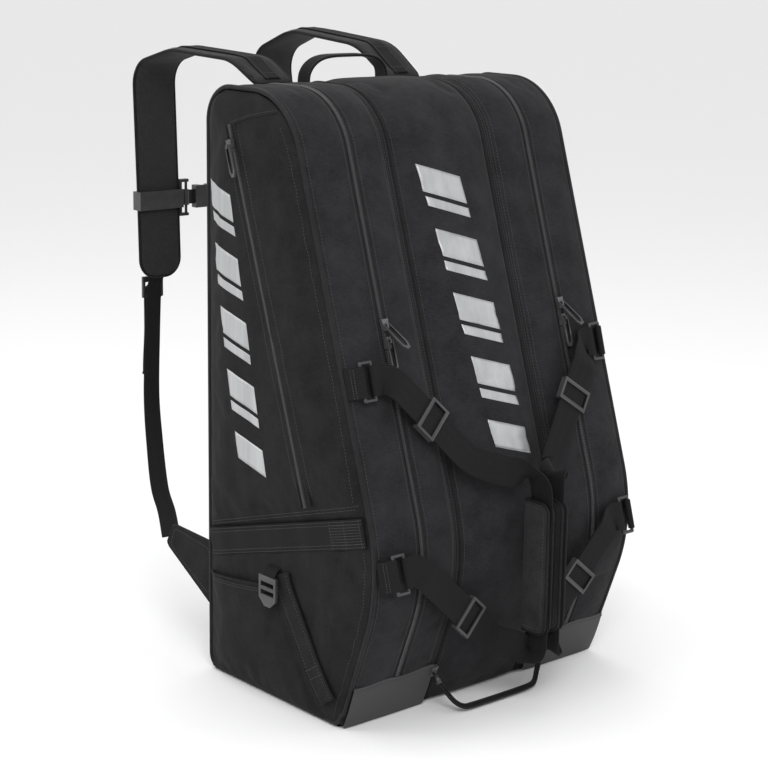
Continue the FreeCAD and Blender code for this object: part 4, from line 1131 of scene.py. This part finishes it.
def carry_handle(side, word):
    grip_x, tops, lows, share_up, share_low = HANDLES[side]
    top = [over_front(x, z, 27) for x, z in tops]
    low = [Vector(p) for p in lows]
    low_way = (low[0] - low[1]).cross(FRONT_WAY).normalized()
    low_out = (low[1] - low[0]).cross(low_way).normalized()
    low_out = low_out if low_out.y < 0 else -low_out
    top_way = (top[1] - top[0]).cross(UP_OUT)
    grip_top = Vector((grip_x, GRIP_Y, GRIP_LOW + GRIP_LENGTH + GRIP_TAIL))
    grip_low = Vector((grip_x, GRIP_Y, GRIP_LOW - GRIP_TAIL))
    grip_way = Vector((0, 1, 0))
    half_gap = 0.85

    def on_top(share, layer):
        return top[0].lerp(top[1], share) + UP_OUT * half_gap * layer, top_way

    def on_low(share, layer):
        return low[0].lerp(low[1], share) + low_out * half_gap * layer, low_way

    route = [on_top(share, -1) for share in (share_up + 0.30, share_up * 0.6, 0.12, 0)]
    route += ring_wrap(side, UPPER_EYE) + [on_top(share, 1) for share in (0, 0.12, 0.5, 1)]
    route += [(top[1].lerp(grip_top, 0.5), (grip_top - top[1]).cross(FRONT_WAY)), (grip_top, grip_way),
              (grip_top.lerp(grip_low, 0.5), grip_way), (grip_low, grip_way),
              (grip_low.lerp(low[1], 0.45) + Vector((0, 0, -1.5)), (low[1] - grip_low).cross(FRONT_WAY))]
    route += [on_low(share, 1) for share in (1, 0.5, 0.12, 0)] + ring_wrap(side, LOWER_EYE)[::-1]
    route += [on_low(share, -1) for share in (0, 0.12, share_low * 0.6, share_low + 0.24)]
    points, across = [p * MM for p, w in route], [w for p, w in route]
    body = f"{word}_carry_handle"
    finish_piece(strap(f"{word}_carry_webbing", points, across, 0.0376, 0.0015, step=0.0034), body,
                 f"{word}_handle_webbing")
    threads = Stitches(f"{word}_handle_threads")
    frames = strap_frames(points, across, 0.0034)
    for k in (23, 27, -24, -20):
        threads.row(frames[k], 0.016, 0.0008)

    wall, rest, bend_y = 4.2, 37.8, -224.1
    total = 2 * rest + math.pi * wall

    def place(s, w, h):
        z = GRIP_LOW + GRIP_LENGTH / 2 + w
        if s < rest:
            return Vector((grip_x - wall - h, bend_y - (rest - s), z))
        if s > total - rest:
            return Vector((grip_x + wall + h, bend_y - (rest - (total - s)), z))
        angle = math.pi - (s - rest) / wall
        return Vector((grip_x + (wall + h) * math.cos(angle), bend_y + (wall + h) * math.sin(angle), z))

    def out_at(s):
        return (place(s, 0, 1) - place(s, 0, 0)).normalized()

    pad, rim, pinned = slab(f"{word}_grip_pad", place, total, GRIP_LENGTH, (13, 13), 5.0, (PAD_CLOTH, MESH),
                            4.2, 0.5, 6.0)
    billow(pad, pinned, 2.0, 0.0, 0.0012, frames=8)
    subdivide(pad)
    finish_piece(pad, body, f"{word}_grip")
    finish_piece(tube(f"{word}_grip_binding", rim, 0.0019, closed=True), body)
    line = inset_line(place, out_at, total, GRIP_LENGTH, 6.5, 8.0, 200)
    threads.sew(laid_on(tree_of(pad), line, 0.0002, 0.004))
    threads.done(body)


def anchor_tab(side, word, level, eye):
    """Doubled webbing from the side seam round the ring's outer bar."""
    bar = eye + Vector((side * 205, 0, 0))
    spots = [(15.5, -13.4), (8.0, -6.6), (3.6, 0.6), (0.0, 3.7), (-3.5, 0.4), (-1.4, -3.7), (5.5, -8.6), (14.0, -15.6)]
    points = [(bar + Vector((side * a, 0, 0)) + RING_OUT * b) * MM for a, b in spots]
    across = [SWING] * len(points)
    nodes = ["anchor_tabs"] if (word, level) == ("left", "upper") else []
    finish_piece(strap(f"{word}_{level}_tab", points, across, 0.0385, 0.0017, step=0.002), "bag", *nodes)
    threads = Stitches(f"{word}_{level}_tab_threads")
    for k in (4, 6):
        threads.row(strap_frames(points, across, 0.002)[k], 0.017, 0.0009)
    threads.done("bag")


for side, word in SIDES:
    carry_handle(side, word)
    anchor_tab(side, word, "upper", UPPER_EYE)
    anchor_tab(side, word, "lower", LOWER_EYE)


# ---------------------------------------------------------------- shoulder straps

ACROSS, PAD_X = Vector((1, 0, 0)), 110
PAD_ROUTES = {
    -1: [(144, 767), (196, 795), (330, 800), (418, 776), (410, 600), (406, 478)],
    1: [(144, 767), (205, 808), (350, 820), (438, 785), (410, 612), (406, 478)],
}


def bent_line(points, radii, step):
    """Polyline in (y, z) with rounded corners, as evenly spaced (point, outward)."""
    pts = [np.array(p, float) for p in points]
    rough = [pts[0]]
    for a, b, c, radius in zip(pts, pts[1:], pts[2:], radii):
        centre, first, last = rounded(b, unit(b - a), unit(c - b), radius)
        a0, a1 = math.atan2(*(first - centre)[::-1]), math.atan2(*(last - centre)[::-1])
        a1 += 2 * math.pi * round((a0 - a1) / (2 * math.pi))
        angles = [a0 + (a1 - a0) * t / 20 for t in range(21)]
        rough += [first, *[centre + radius * np.array([math.cos(a), math.sin(a)]) for a in angles], last]
    line = [(Vector((0, *p)), Vector()) for p in rough + [pts[-1]]]
    even = [p for p, out, along in resample(line, step)]
    result = []
    for i, p in enumerate(even):
        t = (even[min(i + 1, len(even) - 1)] - even[max(i - 1, 0)]).normalized()
        result.append((p, Vector((0, -t.z, t.y))))
    return result


def shoulder_pad(side, word):
    step, width, body = 2.0, 66.0, f"{word}_shoulder_strap"
    centre = bent_line(PAD_ROUTES[side], (90, 90, 38, 300), step)
    length = (len(centre) - 1) * step

    def place(s, w, h):
        k = min(max(s / step, 0), len(centre) - 1.001)
        i, f = int(k), k - int(k)
        p = centre[i][0].lerp(centre[i + 1][0], f)
        n = centre[i][1].lerp(centre[i + 1][1], f).normalized()
        return p + n * h + Vector((side * PAD_X + w * (1 - 0.10 * math.exp(-s / 60)), 0, 0))

    def out_at(s):
        return (place(s, 0, 1) - place(s, 0, 0)).normalized()

    pad, rim, pinned = slab(f"{word}_pad", place, length, width, (6, 25), 11.0, (PAD_CLOTH, MESH), 6.0, 0.3, 9.0)
    billow(pad, pinned, 2.2, 0.0, 0.0022, frames=12, bend=0.8)
    subdivide(pad)
    finish_piece(pad, body, f"{word}_shoulder_pad")
    finish_piece(tube(f"{word}_pad_binding", rim, 0.0022, sides=10, closed=True), body)
    tree = tree_of(pad)
    threads = Stitches(f"{word}_pad_threads")
    for inset in (7.0, 10.0):
        threads.sew(laid_on(tree, inset_line(place, out_at, length, width, inset, 14.0, 480), 0.0003, 0.008))
    points = [laid_on(tree, [(place(s, 0, 3) * MM, out_at(s))], 0.0012, 0.010)[0][0]
              for s in range(4, int(length) - 60, 12)]
    ways = [ACROSS] * len(points)
    finish_piece(strap(f"{word}_pad_webbing", points, ways, 0.0254, 0.0016), body)
    threads.edges(points, ways, 0.0254, 0.0009)
    frames = strap_frames(points, ways)
    end = len(frames)
    for first, last in ((3, 14), (end - 12, end - 2)):
        for at in (first, last):
            threads.row(frames[at], 0.011, 0.0010, 5)
        for way in (1, -1):
            cross = []
            for k in range(first, last + 1):
                p, s, o, far = frames[k]
                share = (k - first) / (last - first) * 2 - 1
                cross.append((p + s * 0.010 * share * way + o * 0.0010, o))
            threads.sew(cross, 0.0032, 0.0023)
    threads.done(body)


def long_webbing(side, word):
    """Webbing from the ladder lock to the corner wing, its loose end and that end's hem."""
    route = [(0, 409, 500), (0, 413, 486), (1, 417, 470), (3, 419, 452), (12, 411, 385), (24, 397, 310),
             (42, 364, 250), (66, 318, 200), (82, 278, 176), (104, 236, 156)]
    turns = [(1, 0, 0)] * 4 + [(1, 0.06, 0), (1, 0.12, 0), (1, 0.25, 0), (1, 0.45, 0), (0.8, 0.5, 0), (0.7, 0.5, 0.1)]
    loose = [(1, 421, 463), (2, 426, 448), (3, 425, 425), (6, 421, 396), (11, 417, 360), (15, 412, 338)]
    body = f"{word}_shoulder_strap"
    for part, spots, ways, width, thick, nodes in (
            ("long_webbing", route, turns, 0.0248, 0.0018, [f"{word}_strap_webbing"]),
            ("loose_end", loose, [(1, 0.1, 0)] * 6, 0.0246, 0.0017, [])):
        points = [Vector((side * (PAD_X + a), y, z)) * MM for a, y, z in spots]
        finish_piece(strap(f"{word}_{part}", points, [Vector((x, y * side, z)) for x, y, z in ways], width, thick),
                     body, *nodes)
    hem = [points[-1] + Vector((x, 0.0012, 0.002)) for x in (-0.0122, 0.0122)]
    finish_piece(tube(f"{word}_loose_hem", hem, 0.0021, STRAP_HEM), body)


def pad_root(side, word):
    """Cloth that ties a shoulder pad's end to the seam at the top of the back."""
    points = [Vector((side * PAD_X, y, z)) * MM for y, z in
              ((133.5, 730), (133.5, 737.5), (137.5, 756), (144, 765.5), (160, 776.5))]
    flap = strap(f"{word}_pad_root", points, [ACROSS] * 5, 0.062, 0.0052, SIDE_CLOTH, step=0.003)
    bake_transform(flap)


def corner_wing(side, word):
    """Padded triangle between the bag's back corner and the strap."""
    corners = [Vector(p) for p in ((134.4, 84), (134.4, 172), (224, 176), (240, 146))]
    length, width = 100, 60

    def place(s, w, h):
        a, b = s / length, (w + width / 2) / width
        p = corners[0].lerp(corners[3], a).lerp(corners[1].lerp(corners[2], a), b)
        return Vector((side * (217.2 + h), p.x, p.y))

    wing, rim, pinned = slab(f"{word}_wing_cloth", place, length, width, (4, 8), 3.6, (SIDE_CLOTH, SIDE_CLOTH),
                             5.0, 0.6, 6.0)
    subdivide(wing)
    finish_piece(wing, "bag", *(["strap_wings"] if side < 0 else []))
    finish_piece(tube(f"{word}_wing_binding", rim, 0.0017, closed=True), "bag")
    threads = Stitches(f"{word}_wing_threads")
    line = inset_line(place, lambda s: Vector((side, 0, 0)), length, width, 7, 8)
    threads.sew(laid_on(tree_of(wing), line, 0.0002, 0.006))
    threads.done("bag")


for side, word in SIDES:
    shoulder_pad(side, word)
    long_webbing(side, word)
    pad_root(side, word)
    corner_wing(side, word)


# --------------------------------------------------------- chest strap and loops

def loop_strap(name, points, ways, width, thick, step, body, *nodes):
    finish_piece(strap(name, points, ways, width, thick, step=step), body, *nodes)


def chest_strap():
    """Webbing on the plug's side and the loop round the keeper's rod."""
    rod_x, y, z = 63.5, 408.6, 587.0
    half = [(39, 1.9), (46, 2.0), (52, 4.2), (57, 8.4), (rod_x, 10.2), (69, 8.4)]
    loop = half + [(71, 0)] + [(x, -a) for x, a in half[::-1]]
    for name, route, width, nodes in (("chest_webbing", [(6.6, 0), (20, 0), (36, 0), (52, 0)], 0.0246,
                                       ["sternum_webbing"]), ("chest_loop", loop, 0.0156, [])):
        points = [Vector((x, y + a, z)) * MM for x, a in route]
        loop_strap(name, points, [Vector((0, 0, 1))] * len(points), width, 0.0018, 0.0025, "sternum_strap", *nodes)
    threads = Stitches("chest_threads")
    for x in (41, 45):
        for face in (1, -1):
            threads.sew([(Vector((x, y + face * 2.95, z + 1.1 * t)) * MM, Vector((0, face, 0)))
                         for t in range(-6, 7)], 0.003, 0.0022)
    threads.done("sternum_strap")


def grab_loop():
    """Haul loop between the pads, at the top of the back."""
    route = [(-62, 746), (-62.5, 762), (-60, 779), (-48, 792), (-28, 798.5), (6, 799.5), (40, 798.5), (58, 792.5),
             (69, 780), (70.5, 763), (70, 746)]
    points = [Vector((x, 143.0, z)) * MM for x, z in route]
    ways = [Vector((0, 1, 0))] * len(points)
    loop_strap("grab_webbing", points, ways, 0.0242, 0.0034, 0.003, "grab_loop", "haul_loop")
    threads = Stitches("grab_threads")
    threads.edges(points, ways, 0.0242, 0.0018)
    threads.done("grab_loop")


def slider_loop():
    """Flat strap that joins the two lower sliders, with a sleeve on each end."""
    pivot = Vector(JOINTS["pull_loop_swing"]["pos_m"]) / MM
    slope = Vector((0, -0.62, -0.785)).normalized()
    face = ACROSS.cross(slope)
    half_span = 87.5
    flat = [(-half_span, 2.5), (-half_span, -10), (-84, -22), (-77, -40), (-66, -50), (-50, -52), (0, -52.5),
            (45, -52), (60, -49), (72, -37), (82, -26), (87, -14), (half_span, 2.5)]
    points = [(Vector((x, pivot.y, pivot.z)) - slope * v) * MM for x, v in flat]
    ends = [points[0], *points, points[-1]]
    ways = [(after - before).cross(face) for before, after in zip(ends, ends[2:])]
    loop_strap("loop_webbing", points, ways, 0.0078, 0.0024, 0.0025, "pull_loop", "centre_pull_loop")
    threads = Stitches("loop_threads")
    threads.edges(points, ways, 0.0078, 0.0013, 0.0016, 0.0025)
    threads.done("pull_loop")
    for side, word in SIDES:
        end = (Vector((side * half_span, pivot.y, pivot.z)) + slope * 8) * MM
        sleeve = [end + slope * 0.006 * k for k in (-1, 0, 1)]
        finish_piece(tube(f"{word}_loop_sleeve", sleeve, 0.0035, PLASTIC, 12), "pull_loop")


chest_strap()
grab_loop()
slider_loop()


# -------------------------------------------------------------- silver decoration

def print_column(name, tree, out, across, start, end, slant):
    """Column of slanted bars, a broad and a narrow one by turns, laid on the cloth as fine grids."""
    rows, cols, lift = 8, 18, 0.00028
    shares = (0.86, 0.30) * 4 + (0.86,)
    along = (end - start) / len(shares)
    lean = along.normalized() * slant
    verts, faces = [], []
    for k, share in enumerate(shares):
        faces += [tuple(len(verts) + i for i in f) for f in grid_faces(rows + 1, cols + 1)]
        top = start + along * k
        for j in range(rows + 1):
            for i in range(cols + 1):
                p = top + along * share * j / rows + across * (2 * i / cols - 1) + lean * i / cols
                spot, normal = tree.ray_cast(p + out * 0.08, -out, 0.16)[:2]
                verts.append((spot or p) + (normal if spot and normal.dot(out) > 0 else out) * lift)
    obj = new_object(name, verts, faces, PRINT)
    obj.modifiers.new("film", "SOLIDIFY").thickness = 0.0001
    finish_piece(obj, "bag")


print_column("front_motif", front_tree, FRONT_WAY, Vector((0.031, 0, 0)),
             Vector((-0.020, -0.10, 0.680)), Vector((0.020, -0.20, 0.330)), 0.020)
print_column("side_motif", cover_tree, Vector((-1, 0, 0)), Vector((0, -0.027, 0)),
             Vector((-0.235, 0.094, 0.655)), Vector((-0.235, 0.020, 0.305)), 0.014)


# ------------------------------------------------------------ floor, light, camera

def stage():
    bpy.ops.mesh.primitive_plane_add(size=400, location=(0, 0, -0.0006))
    floor = bpy.context.object
    floor.name = "floor"
    n = Nodes("floor_paper")
    floor.data.materials.append(n.done(n.mix(n.noise(3, 2, 0.5), (0.955,) * 3, (0.965,) * 3), 0.9))
    scene.world = bpy.data.worlds.new("studio")
    scene.view_settings.view_transform = "Standard"
    scene.world.use_nodes = True
    background = scene.world.node_tree.nodes["Background"]
    background.inputs[0].default_value = (1, 1, 1, 1)
    background.inputs[1].default_value = 0.84


def area_light(name, place, aim, size, power):
    data = bpy.data.lights.new(name, "AREA")
    data.shape = "RECTANGLE"
    data.size, data.size_y = size
    data.energy = power
    light = bpy.data.objects.new(name, data)
    scene.collection.objects.link(light)
    light.location = place
    light.rotation_euler = (Vector(aim) - Vector(place)).to_track_quat("-Z", "Y").to_euler()


stage()
area_light("key", (-1.6, -2.2, 2.4), (0, 0, 0.4), (1.3, 1.3), 44)
area_light("fill", (2.4, -1.8, 1.4), (0, 0, 0.4), (1.8, 1.8), 6)
area_light("top", (0.2, 0.6, 2.8), (0, 0.1, 0.5), (2.0, 2.0), 14)
area_light("rim", (-2.2, 1.4, 1.5), (0, 0.1, 0.5), (1.0, 1.6), 14)

IMAGE, SENSOR = 768, 36
AZIMUTH, ELEVATION, ROLL = math.radians(-41.7), math.radians(13.0), math.radians(1.0)
AIM, DISTANCE = Vector((0, 0, 0.385)), 2.56
away = Vector((math.sin(AZIMUTH) * math.cos(ELEVATION), -math.cos(AZIMUTH) * math.cos(ELEVATION),
               math.sin(ELEVATION)))
camera_data = bpy.data.cameras.new("camera")
camera = bpy.data.objects.new("camera", camera_data)
scene.collection.objects.link(camera)
camera.location = AIM + away * DISTANCE
camera.rotation_euler = ((-away).to_track_quat("-Z", "Y") @ Quaternion((0, 0, 1), ROLL)).to_euler()
camera_data.sensor_width = SENSOR
camera_data.lens = SENSOR * 1950 / IMAGE
camera_data.shift_x, camera_data.shift_y = -23.4 / IMAGE, -3.1 / IMAGE
scene.camera = camera
